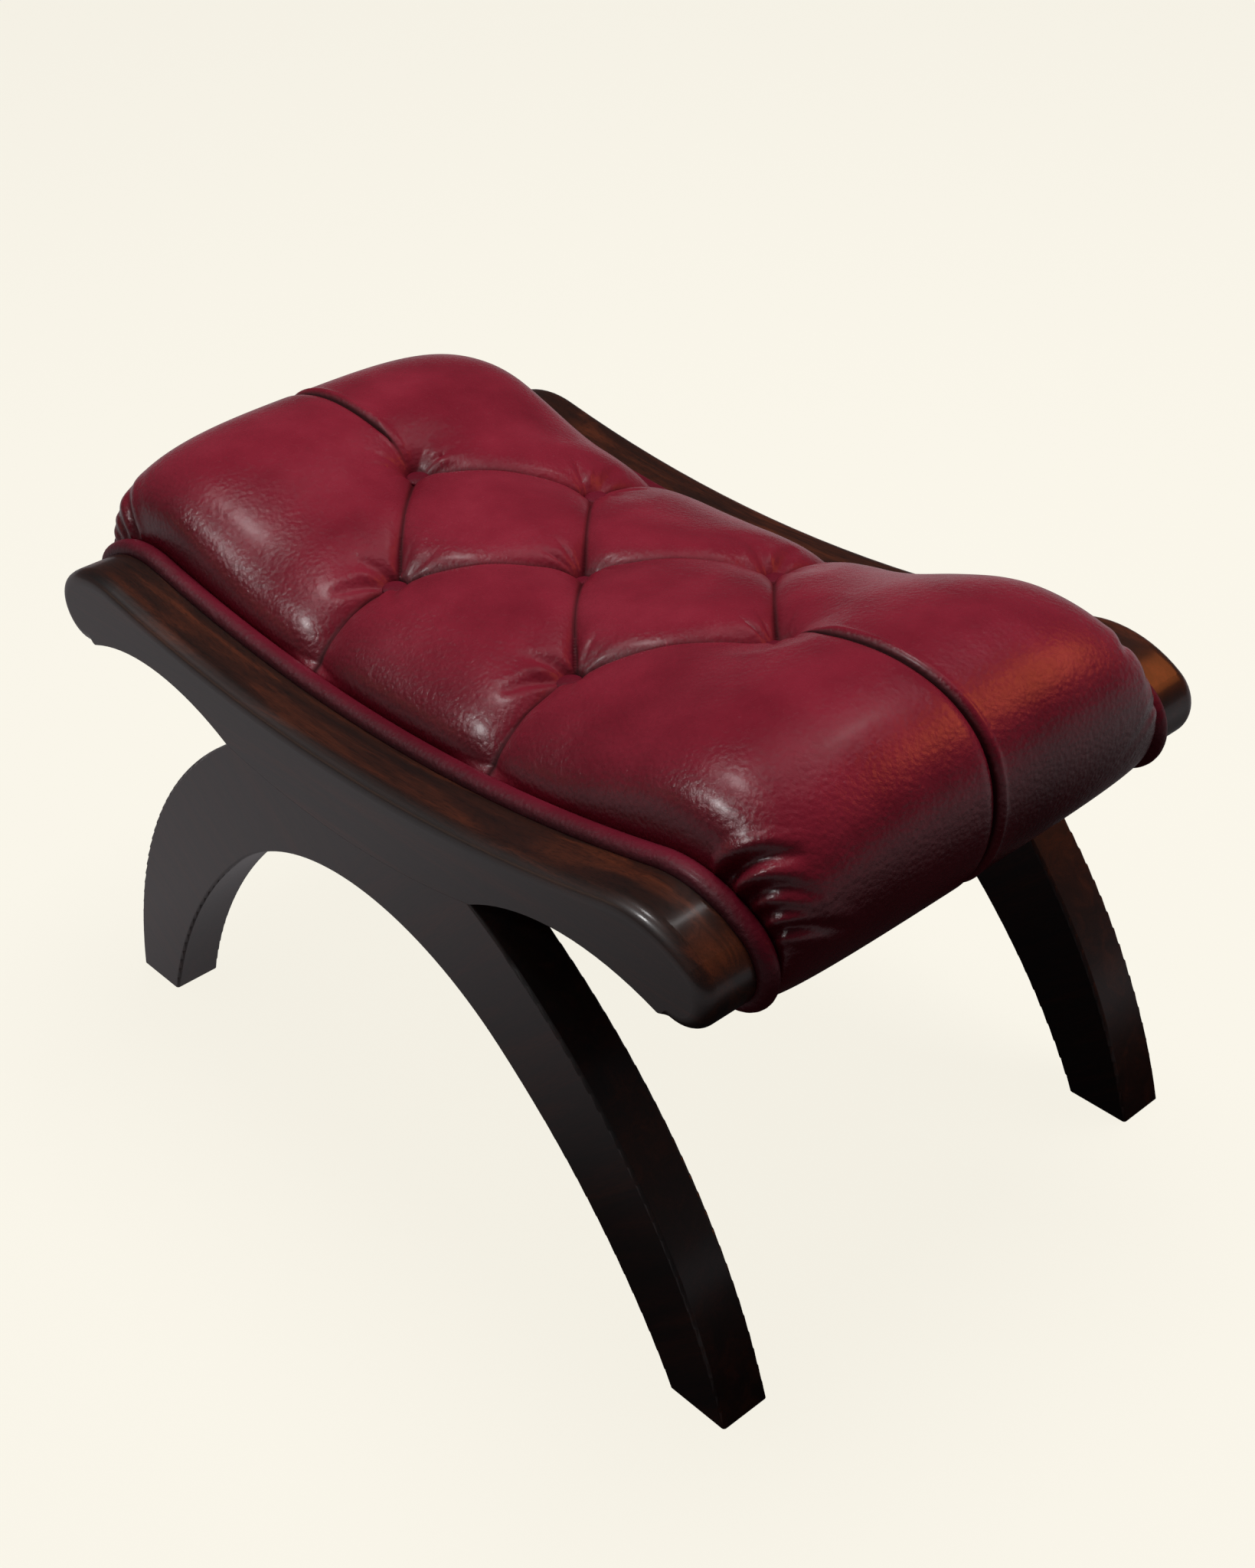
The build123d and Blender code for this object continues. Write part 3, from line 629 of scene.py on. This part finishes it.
middle_dense = smooth_through(outline_points(middle_roll, CROWN))
edge_dense = smooth_through(outline_points(edge_roll, EDGE))
steps = np.linalg.norm(np.diff(middle_dense, axis=0), axis=1)
run = np.concatenate([[0], np.cumsum(steps)])
run_half = run[-1] / 2
print("length of hide over the seat", round(run[-1] * 1000), "mm")

# %% [markdown]
# A grid gives the hide its vertices. Its rows are closer together down the middle, where a sewn pleat
# crosses both rolls, and its edges turn down in a quarter round beside the piping.

# %% Grid of the seat
GRID = 1.6 * MM
FINE_REACH = 10 * MM
ROUND_MIDDLE, ROUND_SADDLE, ROUND_ROLL = 2.6, 2.2, 3.3
grid_step = GRID
along = np.linspace(0, run[-1], int(run[-1] / grid_step) + 1)
base_middle = np.column_stack([np.interp(along, run, middle_dense[:, k]) for k in (0, 1)])
base_edge = np.column_stack([np.interp(along, run, edge_dense[:, k]) for k in (0, 1)])
run_at = along - run_half

turn = np.linspace(0, math.pi / 2, 4000)
arc_y, arc_share = seat_half * np.sin(turn) ** (2 / ROUND_MIDDLE), np.cos(turn) ** (2 / ROUND_MIDDLE)
arc_run = np.concatenate([[0], np.cumsum(np.hypot(np.diff(arc_y), np.diff(arc_share) * CROWN * 0.9))])
fine_rows = np.linspace(0, FINE_REACH, 13)
wide_rows = np.linspace(FINE_REACH, arc_run[-1], int((arc_run[-1] - FINE_REACH) / grid_step) + 1)[1:]
across_run = np.concatenate([fine_rows, wide_rows])
across_y = np.interp(across_run, arc_run, arc_y)
rows_y = np.concatenate([-across_y[:0:-1], across_y])
rows_run = np.concatenate([-across_run[:0:-1], across_run])
past_tufts = np.clip((np.abs(base_middle[:, 0]) - 130 * MM) / (110 * MM), 0, 1)
roundness = (ROUND_SADDLE + (ROUND_ROLL - ROUND_SADDLE) * past_tufts**2 * (3 - 2 * past_tufts))[:, None]
share_grid = np.clip(1 - np.abs(rows_y / seat_half)[None, :] ** roundness, 0, 1) ** (1 / roundness)
print("grid", len(along), "by", len(rows_y))

# %% [markdown]
# Deep buttoning pulls seven points of the hide down to the webbing. Spare hide between two buttons has
# nowhere to go but a fold, so straight folds join neighbouring buttons into diamonds, and from the outer
# buttons a pleat runs to each edge. Across a fold the padding swells in a quarter round on both sides.
# Each fold is deepest at its buttons.

# %% Folds between the buttons
BUTTON_DEPTH = 26 * MM
FOLD_DEPTH = 8.5 * MM
SIDE_PLEAT_DEPTH, SIDE_PLEAT_END, SIDE_PLEAT_WIDTH = 13 * MM, 4 * MM, 2.1
tuft_run = {x: float(np.interp(x * tuft_x, -base_middle[:, 0], run_at)) for x in (-2, -1, 0, 1, 2)}
edge_run = rows_run[-1]
buttons = [(-2, 0), (0, 0), (2, 0), (-1, -1), (-1, 1), (1, -1), (1, 1)]
diamonds = [((a, 0), (a + s, t)) for a, s in ((-2, 1), (0, -1), (0, 1), (2, -1)) for t in (-1, 1)]


def spot(button):
    """Place of a button on the hide."""
    aside = float(np.interp(tuft_y, across_y, across_run))
    return tuft_run[button[0]], math.copysign(aside, button[1]) * abs(button[1])


# start, end, depth at the start, middle and end, and how wide the hide falls toward it
folds = [(spot(a), spot(b), BUTTON_DEPTH, FOLD_DEPTH, BUTTON_DEPTH, 1) for a, b in diamonds]
for a in (-1, 1):
    for b in (-1, 1):
        start = spot((a, b))
        finish = (start[0] * 1.03, b * edge_run)
        folds.append((start, finish, BUTTON_DEPTH, SIDE_PLEAT_DEPTH, SIDE_PLEAT_END, SIDE_PLEAT_WIDTH))


SLIT_REACH, PILLOW_REACH = 15 * MM, 42 * MM


def swell(off, wide):
    """Depth share across a fold: a quarter round beside the slit and a broad fall beyond it."""
    close = np.clip(1 - off / (SLIT_REACH * wide), 0, 1)
    broad = np.clip(1 - off / (PILLOW_REACH * wide**0.3), 0, 1)
    return 0.55 * (1 - np.sqrt(np.clip(1 - close**2, 0, 1))) + 0.45 * broad**2


def fold_field(s, t):
    """How far the hide is drawn in at each point of the grid."""
    total = np.zeros_like(s)
    slit = np.zeros_like(s)
    sharp = 1.2 * MM
    for (s0, t0), (s1, t1), d0, dm, d1, wide in folds:
        ds, dt = s1 - s0, t1 - t0
        share = np.clip(((s - s0) * ds + (t - t0) * dt) / (ds * ds + dt * dt), 0, 1)
        off = np.sqrt((s - s0 - share * ds) ** 2 + (t - t0 - share * dt) ** 2 + (0.5 * MM) ** 2)
        lift = np.abs(2 * share - 1) ** 1.8
        ends = np.where(share < 0.5, d0, d1)
        local = dm + (ends - dm) * lift
        here = local * swell(off, wide + 0.6 * lift * (ends > dm))
        total += np.exp(here / sharp) - 1
        # the slit mask marks each fold's narrow slit; it is used only for painted shade
        slit = np.maximum(slit, np.exp(-((off / ((1.6 + 1.2 * lift) * MM)) ** 2)))
    for button in buttons:
        s0, t0 = spot(button)
        off = np.maximum(np.hypot(s - s0, t - t0) - 3.5 * MM, 0)
        here = BUTTON_DEPTH * swell(off, 1.15)
        total += np.exp(here / sharp) - 1
    depth = sharp * np.log1p(total)
    return BUTTON_DEPTH - np.log1p(np.exp((BUTTON_DEPTH - depth) / (0.6 * MM))) * 0.6 * MM, slit


s_grid, t_grid = np.meshgrid(run_at, rows_run, indexing="ij")
depth_grid, slit_shade_grid = fold_field(s_grid, t_grid)
depth_grid = np.maximum(depth_grid, 0)
print("deepest fold", round(float(depth_grid.max()) * 1000, 1), "mm")

# %% [markdown]
# One more pleat is sewn down the middle of each roll, from the end button to the tacks under the seat. It
# is a narrow lap: the hide on one side dives under a thin rolled lip on the other. Small radial creases
# gather at each button as ripples, uneven by given phases. Straight strokes, also listed one by one, give
# the creases at the outer buttons and the short gathers where the hide is eased round the piping's ends.
# The near front corner's gathers are the ones that the photograph shows; the others are half as deep.

# %% Pleats and gathers
PLEAT_DEPTH = 5.5 * MM
LIP = 0.9 * MM
start_run = tuft_run[2]
past = np.clip((np.abs(s_grid) - start_run) / (25 * MM), 0, 1)
near_side = np.clip(1 + t_grid / (11 * MM), 0, 1)
lap = np.where(t_grid <= 0, 1 - np.sqrt(np.clip(1 - near_side**2, 0, 1)), np.exp(-t_grid / (1.4 * MM)))
lip = np.exp(-(((t_grid - 4.2 * MM) / (2.4 * MM)) ** 2))
depth_grid = np.maximum(depth_grid, past * PLEAT_DEPTH * lap) - past * LIP * lip
# the middle pleat's slit gets painted shade too
slit_shade_grid = np.maximum(slit_shade_grid, past * np.exp(-(((t_grid - 0.4 * MM) / (1.3 * MM)) ** 2)))

for index, button in enumerate(buttons):
    s0, t0 = spot(button)
    off = np.hypot(s_grid - s0, t_grid - t0)
    angle = np.arctan2(t_grid - t0, s_grid - s0)
    ripple = np.abs(np.sin(4.5 * angle + 1.3 * index + 1.2 * np.sin(2 * angle + index))) ** 0.5
    strength = 0.55 + 0.45 * np.sin(angle * 2 + 2.1 * index)
    fade = np.exp(-(((off - 17 * MM) / (10 * MM)) ** 2))
    depth_grid += 2.6 * MM * fade * strength * (0.68 - ripple)

# creases: start, end, depth; those of a corner are given by their run from the tacks and from the edge
creases = []
NEAR_FRONT, OTHER_CORNERS = (-1, -1), 0.5
for a in (-1, 1):
    for b in (-1, 1):
        s0, t0 = spot((a, b))
        for ds, dt, depth in ((18, 38, 3.4), (30, 10, 2.8), (-26, 24, 2.2)):
            places = [(s0 + k * ds * MM, t0 + k * b * dt * MM) for k in (0.15, 1)]
            creases.append((*places, depth * MM))
        skew = (a + 2 * b) * 1.5
        weight = 1 if (a, b) == NEAR_FRONT else OTHER_CORNERS
        for tacks0, in0, tacks1, in1, depth in (
            (214, 2, 176 + skew, 44, 6),
            (193, 2, 146, 40 - skew, 3.8),
            (176, 1, 128 - skew, 46, 3),
            (158, 1, 110, 66, 3),
        ):
            places = [
                (a * (run_half - tacks * MM), b * (edge_run - inward * MM))
                for tacks, inward in ((tacks0, in0), (tacks1, in1))
            ]
            creases.append((*places, depth * MM * weight))
for (s0, t0), (s1, t1), depth in creases:
    ds, dt = s1 - s0, t1 - t0
    share = np.clip(((s_grid - s0) * ds + (t_grid - t0) * dt) / (ds * ds + dt * dt), 0, 1)
    off = np.hypot(s_grid - s0 - share * ds, t_grid - t0 - share * dt)
    valley = np.exp(-((off / (3.4 * MM)) ** 2)) - 0.35 * np.exp(-(((off - 8 * MM) / (4 * MM)) ** 2))
    depth_grid += depth * (1 - share) ** 0.7 * valley
print("pleats and gathers added")

# %% [markdown]
# The grid primitive takes these places vertex by vertex, in the way that a sculptor would push clay. The
# floor of the seat follows the deck cloth, so that the sheet closes on itself like a tube, and its two
# ends are filled beside the battens.

# %% Seat cover
FLOOR_STEPS = 24
SEAT_CREASE, WELT_CREASE = 50, 60
HIDE = 2.6 * MM
HIDE_LIFT, FOAM_LIFT = 1.0 * MM, 1.6 * MM


def seat_points(inset, depth):
    """Places of the section rows over the top, set in along the normal by the depth and the inset."""
    share = share_grid[:, :, None]
    section = base_edge[:, None, :] * (1 - share) + base_middle[:, None, :] * share
    x, z = section[..., 0], section[..., 1]
    y = np.broadcast_to(rows_y, x.shape)
    top = np.stack([x, y, z], axis=-1)
    du = np.gradient(top, axis=0)
    dv = np.gradient(top, axis=1)
    normal = np.cross(dv, du)
    normal /= np.linalg.norm(normal, axis=2, keepdims=True) + 1e-12
    if normal[len(along) // 2, len(rows_y) // 2, 2] < 0:
        normal = -normal
    rim = np.clip((edge_run - np.abs(t_grid)) / (6 * MM), 0, 1)
    ends = np.clip((run_half - np.abs(s_grid)) / (30 * MM), 0, 1)
    return top - normal * ((depth * rim * ends + inset)[..., None])


def floor_points(height):
    """Places of the floor rows, from the back tacks to the front ones."""
    x = np.linspace(-1, 1, FLOOR_STEPS) * (saddle_half - 1 * MM)
    z = np.array([saddle_at(v, deck_z + height - rail_top) for v in x])
    return np.stack([np.broadcast_to(x[:, None], (FLOOR_STEPS, len(rows_y))),
                     np.broadcast_to(rows_y, (FLOOR_STEPS, len(rows_y))),
                     np.broadcast_to(z[:, None], (FLOOR_STEPS, len(rows_y)))], axis=-1)


def placed_grid(name, places, loop_u=False, loop_v=False):
    """Grid primitive that takes the given places; a looped direction comes back to its own start."""
    rows, columns = places.shape[:2]
    steps_u = rows if loop_u else rows - 1
    steps_v = columns if loop_v else columns - 1
    deselect()
    bpy.ops.mesh.primitive_grid_add(x_subdivisions=steps_u, y_subdivisions=steps_v, size=2)
    made = bpy.context.object
    made.name = made.data.name = name
    start = np.zeros(len(made.data.vertices) * 3)
    made.data.vertices.foreach_get("co", start)
    start = start.reshape(-1, 3)
    i = np.rint((start[:, 0] + 1) / 2 * steps_u).astype(int) % rows
    j = np.rint((start[:, 1] + 1) / 2 * steps_v).astype(int) % columns
    made.data.vertices.foreach_set("co", places[i, j].ravel())
    return made


def closed_tube(name, places, crease, **loop):
    """Placed grid, welded where it meets itself, closed at both ends and smooth below the crease angle."""
    made = placed_grid(name, places, **loop)
    bpy.ops.object.mode_set(mode="EDIT")
    bpy.ops.mesh.select_all(action="SELECT")
    bpy.ops.mesh.remove_doubles(threshold=1e-6)
    bpy.ops.mesh.select_all(action="DESELECT")
    bpy.ops.mesh.select_non_manifold(extend=False)
    bpy.ops.mesh.fill_holes(sides=0)
    bpy.ops.mesh.select_all(action="SELECT")
    bpy.ops.mesh.normals_make_consistent(inside=False)
    bpy.ops.object.mode_set(mode="OBJECT")
    bpy.ops.object.shade_smooth_by_angle(angle=math.radians(crease))
    return made


seat_places = np.concatenate([seat_points(0.0, depth_grid), floor_points(HIDE_LIFT)])
seat = closed_tube("seat_cover", seat_places, SEAT_CREASE, loop_u=True)
print("seat box", [round(v, 4) for v in np.array([v.co for v in seat.data.vertices]).max(0)])

# %% [markdown]
# The leather's shader paints shade into the folds, darker the deeper the fold and near-black in its narrow
# slit, so the seat carries that painted shade on its vertices.

# %% Painted fold shade attribute
co = np.zeros(len(seat.data.vertices) * 3)
seat.data.vertices.foreach_get("co", co)
top_points = seat_points(0.0, depth_grid).reshape(-1, 3)
# painted shade: darker with the depth of a fold, near-black in its slit
shade = np.maximum(np.clip(depth_grid / BUTTON_DEPTH, 0, 1) ** 1.6 * 0.7, slit_shade_grid * 0.95)
shade_at = {tuple(np.round(p, 5)): d for p, d in zip(top_points, shade.ravel())}
shade_in_folds = seat.data.attributes.new("painted_fold_shade", "FLOAT", "POINT")
shade_in_folds.data.foreach_set("value", [shade_at.get(tuple(np.round(p, 5)), 0.0) for p in co.reshape(-1, 3)])
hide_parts("leather_cover")
dress(seat, seat_leather)

# %% [markdown]
# The foam under the hide is the same form, set in by the hide's thickness. It is never seen. Its folds are
# opened by the four rows on either side, so that its coarser grid can't bridge a fold and show through it.

# %% Foam
hollow = np.max([np.roll(depth_grid, k, axis=0) for k in range(-4, 5)], axis=0)
foam_places = np.concatenate([seat_points(HIDE, hollow)[::3], floor_points(FOAM_LIFT)[::3]])
foam_piece = closed_tube("seat_foam", foam_places, SEAT_CREASE, loop_u=True)
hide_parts("foam_pad")
dress(foam_piece, foam)

# %% [markdown]
# A covered button is a metal shell with a disc of hide pressed round it: a low dome, a tight rolled rim and
# a flat back. Half of its outline is spun about its axis once, and each button is a copy, set at its tuft
# and lowered to the floor of the pit.

# %% Covered buttons
BUTTON_BACK, BUTTON_RIM, BUTTON_DOME = 2.6 * MM, 1.1 * MM, 2.4 * MM


def spun_button():
    """Covered button at the origin, its back on z = 0."""
    deselect()
    bpy.ops.mesh.primitive_plane_add(size=0.01, location=(0, 0, 0))
    made = bpy.context.object
    made.name = made.data.name = "covered_button"
    bpy.ops.object.mode_set(mode="EDIT")
    bpy.ops.mesh.select_all(action="SELECT")
    bpy.ops.mesh.merge(type="CENTER")
    outline = [(0, 0), (4 * MM, 0), (6.6 * MM, 1.2 * MM), (BUTTON_RADIUS, BUTTON_BACK)]
    outline.append((BUTTON_RADIUS, BUTTON_BACK + BUTTON_RIM))
    for step in range(1, 7):
        angle = step / 6 * math.pi / 2
        dome_z = BUTTON_BACK + BUTTON_RIM + BUTTON_DOME * math.sin(angle)
        outline.append((BUTTON_RADIUS * math.cos(angle), dome_z))
    for (x0, z0), (x1, z1) in zip(outline, outline[1:]):
        bpy.ops.mesh.extrude_region_move(TRANSFORM_OT_translate={"value": (x1 - x0, 0, z1 - z0)})
    bpy.ops.mesh.select_all(action="SELECT")
    bpy.ops.mesh.spin(steps=40, angle=math.tau, center=(0, 0, 0), axis=(0, 0, 1), dupli=False)
    bpy.ops.mesh.select_all(action="SELECT")
    bpy.ops.mesh.remove_doubles(threshold=1e-6)
    bpy.ops.mesh.normals_make_consistent(inside=False)
    bpy.ops.object.mode_set(mode="OBJECT")
    bpy.ops.object.shade_smooth_by_angle(angle=math.radians(60))
    return made


pattern = spun_button()
for number in range(1, 8):
    low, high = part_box(f"button_{number}")
    center = (low + high) / 2
    pit = top_points[np.argmin(np.hypot(top_points[:, 0] - center.x, top_points[:, 1] - center.y))]
    print("button", number, "pit floor", round(float(pit[2] - low.z) * 1000, 1), "mm from its back")
    center.z += float(pit[2]) - low.z
    lean = math.atan2(center.x, saddle_center - center.z)
    made = pattern.copy()
    made.data = pattern.data.copy()
    made.name = made.data.name = f"covered_button_{number}"
    scene.collection.objects.link(made)
    turn_it = Matrix.Rotation(-lean, 4, "Y")
    middle = Vector((0, 0, (BUTTON_BACK + BUTTON_RIM + BUTTON_DOME) / 2))
    made.data.transform(Matrix.Translation(center) @ turn_it @ Matrix.Translation(-middle))
    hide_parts(f"button_{number}")
    dress(made, shaded_trim_leather)
bpy.data.objects.remove(pattern)

# %% [markdown]
# Piping is a strip of hide sewn round a cotton cord. Here it follows the inner edge of each rail and turns
# round both scrolls. Its middle line is three arcs, about the middle of the saddle, of the crest and of the
# scroll, and is mirrored to the other end. A grid rolled round that line gives the welt.


# %% Piping
def crest():
    """Center and radius of the crest between the saddle and the scroll."""
    start = Vector((saddle_half, saddle_at(saddle_half, 0)))
    outward = (start - Vector((0, saddle_center))).normalized()
    gap = start - Vector((scroll_x, scroll_z))
    radius = (scroll_radius**2 - gap.length_squared) / (2 * (outward.dot(gap) + scroll_radius))
    return start + outward * radius, radius


crest_middle, crest_radius = crest()
scroll_middle = Vector((scroll_x, scroll_z))
saddle_middle = Vector((0, saddle_center))
crest_begin = (Vector((saddle_half, saddle_at(saddle_half, 0))) - saddle_middle).normalized()
crest_begin = saddle_middle + crest_begin * (saddle_radius - welt_lift)
crest_finish = crest_middle + (scroll_middle - crest_middle).normalized() * (crest_radius + welt_lift)
TAIL = math.radians(-100)
SADDLE_STEPS, CREST_STEPS, SCROLL_STEPS, WELT_FACETS = 60, 24, 48, 24


def bearing(middle, point):
    """Angle of a point as seen from a middle."""
    return math.atan2(point.y - middle.y, point.x - middle.x)


def arc(middle, radius, begin, finish, steps, last=False):
    """Points of an arc between two angles, with its last point or without it."""
    turns = [begin + (finish - begin) * k / steps for k in range(steps + last)]
    return [(middle.x + radius * math.cos(a), middle.y + radius * math.sin(a)) for a in turns]


def welt_route():
    """Points of the welt's middle line, from the middle of the saddle to the tail under the scroll."""
    radius = saddle_radius - welt_lift
    sweep_end = math.asin(crest_begin.x / radius)
    sweeps = [sweep_end * k / SADDLE_STEPS for k in range(SADDLE_STEPS)]
    points = [(radius * math.sin(a), saddle_center - radius * math.cos(a)) for a in sweeps]
    begin, finish = bearing(crest_middle, crest_begin), bearing(crest_middle, crest_finish)
    points += arc(crest_middle, crest_radius + welt_lift, begin, finish, CREST_STEPS)
    begin = bearing(scroll_middle, crest_finish)
    points += arc(scroll_middle, scroll_radius + welt_lift, begin, TAIL, SCROLL_STEPS, last=True)
    return points


def welt(name, y):
    """Round welt along the whole rail at y."""
    half = welt_route()
    points = np.array([(-x, z) for x, z in reversed(half[1:])] + half)
    tangent = np.gradient(points, axis=0)
    tangent /= np.linalg.norm(tangent, axis=1, keepdims=True)
    outward = np.column_stack([-tangent[:, 1], tangent[:, 0]])
    rings = np.zeros((len(points), WELT_FACETS, 3))
    for k in range(WELT_FACETS):
        a = k / WELT_FACETS * math.tau
        rings[:, k, 0] = points[:, 0] + outward[:, 0] * welt_radius * math.cos(a)
        rings[:, k, 1] = y + welt_radius * math.sin(a)
        rings[:, k, 2] = points[:, 1] + outward[:, 1] * welt_radius * math.cos(a)
    return closed_tube(name, rings, WELT_CREASE, loop_v=True)


for word, side in (("near", -1), ("far", 1)):
    made = welt(f"piping_welt_{word}", side * welt_y)
    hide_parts(f"piping_{word}")
    dress(made, shaded_trim_leather)

# %% [markdown]
# Under the seat a black cambric dust cover hides the webbing. It is cut to the battens, its raw edge turned
# under, and held by tacks 40 mm apart along both battens. Between its tacks the edge scallops a little, and
# the cloth hangs slack by some millimetres in the middle. A grid takes this form and gets its thickness from
# a solidify modifier, applied at once.

# %% Dust cover
cover_low, cover_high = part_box("dust_cover")
EDGE_TURN, LAP, TACK_INSET = 1 * MM, 14 * MM, 12 * MM
cover_half = cover_high.y - EDGE_TURN
cover_reach = cover_high.x - EDGE_TURN
TACK_STEP, SLACK = 40 * MM, 5 * MM
count_x, count_y = ((233, 101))
cover_x, cover_y = np.meshgrid(
    np.linspace(-1, 1, count_x) * cover_reach, np.linspace(-1, 1, count_y) * cover_half, indexing="ij"
)
free = np.clip((cover_half - LAP - np.abs(cover_y)) / (cover_half - LAP), 0, 1)
sag = SLACK * (1 - (1 - free) ** 2) * np.cos(cover_x / cover_high.x * math.pi / 2) ** 0.5
draw = np.abs(np.sin(cover_x / TACK_STEP * math.pi)) * np.exp(-free * cover_half / (22 * MM))
draw *= np.minimum(1, free * 20)
soft = np.sin(cover_x / (31 * MM) + 2 * cover_y / (90 * MM)) * np.sin(cover_y / (47 * MM) + 0.7) * free
hung = np.vectorize(lambda v: saddle_at(v, cover_low.z + 0.3 * MM - rail_top))(cover_x)
cover_z = hung - sag - 0.9 * MM * draw - 0.7 * MM * soft
cover = placed_grid("cambric_dust_cover", np.stack([cover_x, cover_y, cover_z], axis=-1))
thick = cover.modifiers.new("thickness", "SOLIDIFY")
thick.thickness = 0.5 * MM
thick.offset = 0
bpy.ops.object.modifier_apply(modifier=thick.name)
bpy.ops.object.shade_smooth_by_angle(angle=math.radians(40))
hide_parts("dust_cover")
dress(cover, cambric)

# %% [markdown]
# Each tack is a low dome of blued steel, 8.4 mm across: a flattened sphere. One is set at each place along
# both battens, and all are joined to one piece.

# %% Tacks
blued, tree, out = new_material("blued_steel")
skin = node(tree, "ShaderNodeBsdfPrincipled", Base_Color="#1c1f26", Metallic=1.0, Roughness=0.32)
tree.links.new(skin.outputs[0], out.inputs["Surface"])
TACKS_A_SIDE = 11
TACK_RADIUS, TACK_FLATNESS = 4.2 * MM, 0.38
heads = []
for side in (-1, 1):
    for k in range(TACKS_A_SIDE):
        tack_x = (k - (TACKS_A_SIDE - 1) / 2) * TACK_STEP
        tack_y = side * (cover_half - TACK_INSET)
        place = Vector((tack_x, tack_y, saddle_at(tack_x, cover_low.z - 0.2 * MM - rail_top)))
        deselect()
        bpy.ops.mesh.primitive_uv_sphere_add(segments=20, ring_count=10, radius=TACK_RADIUS, location=place)
        head = bpy.context.object
        head.scale = (1, 1, TACK_FLATNESS)
        heads.append(head)
deselect()
for head in heads:
    head.select_set(True)
bpy.context.view_layer.objects.active = heads[0]
bpy.ops.object.join()
bpy.ops.object.transform_apply(location=True, rotation=True, scale=True)
tacks = bpy.context.object
tacks.name = tacks.data.name = "dust_cover_tacks"
bpy.ops.object.shade_smooth()
dress(tacks, blued)
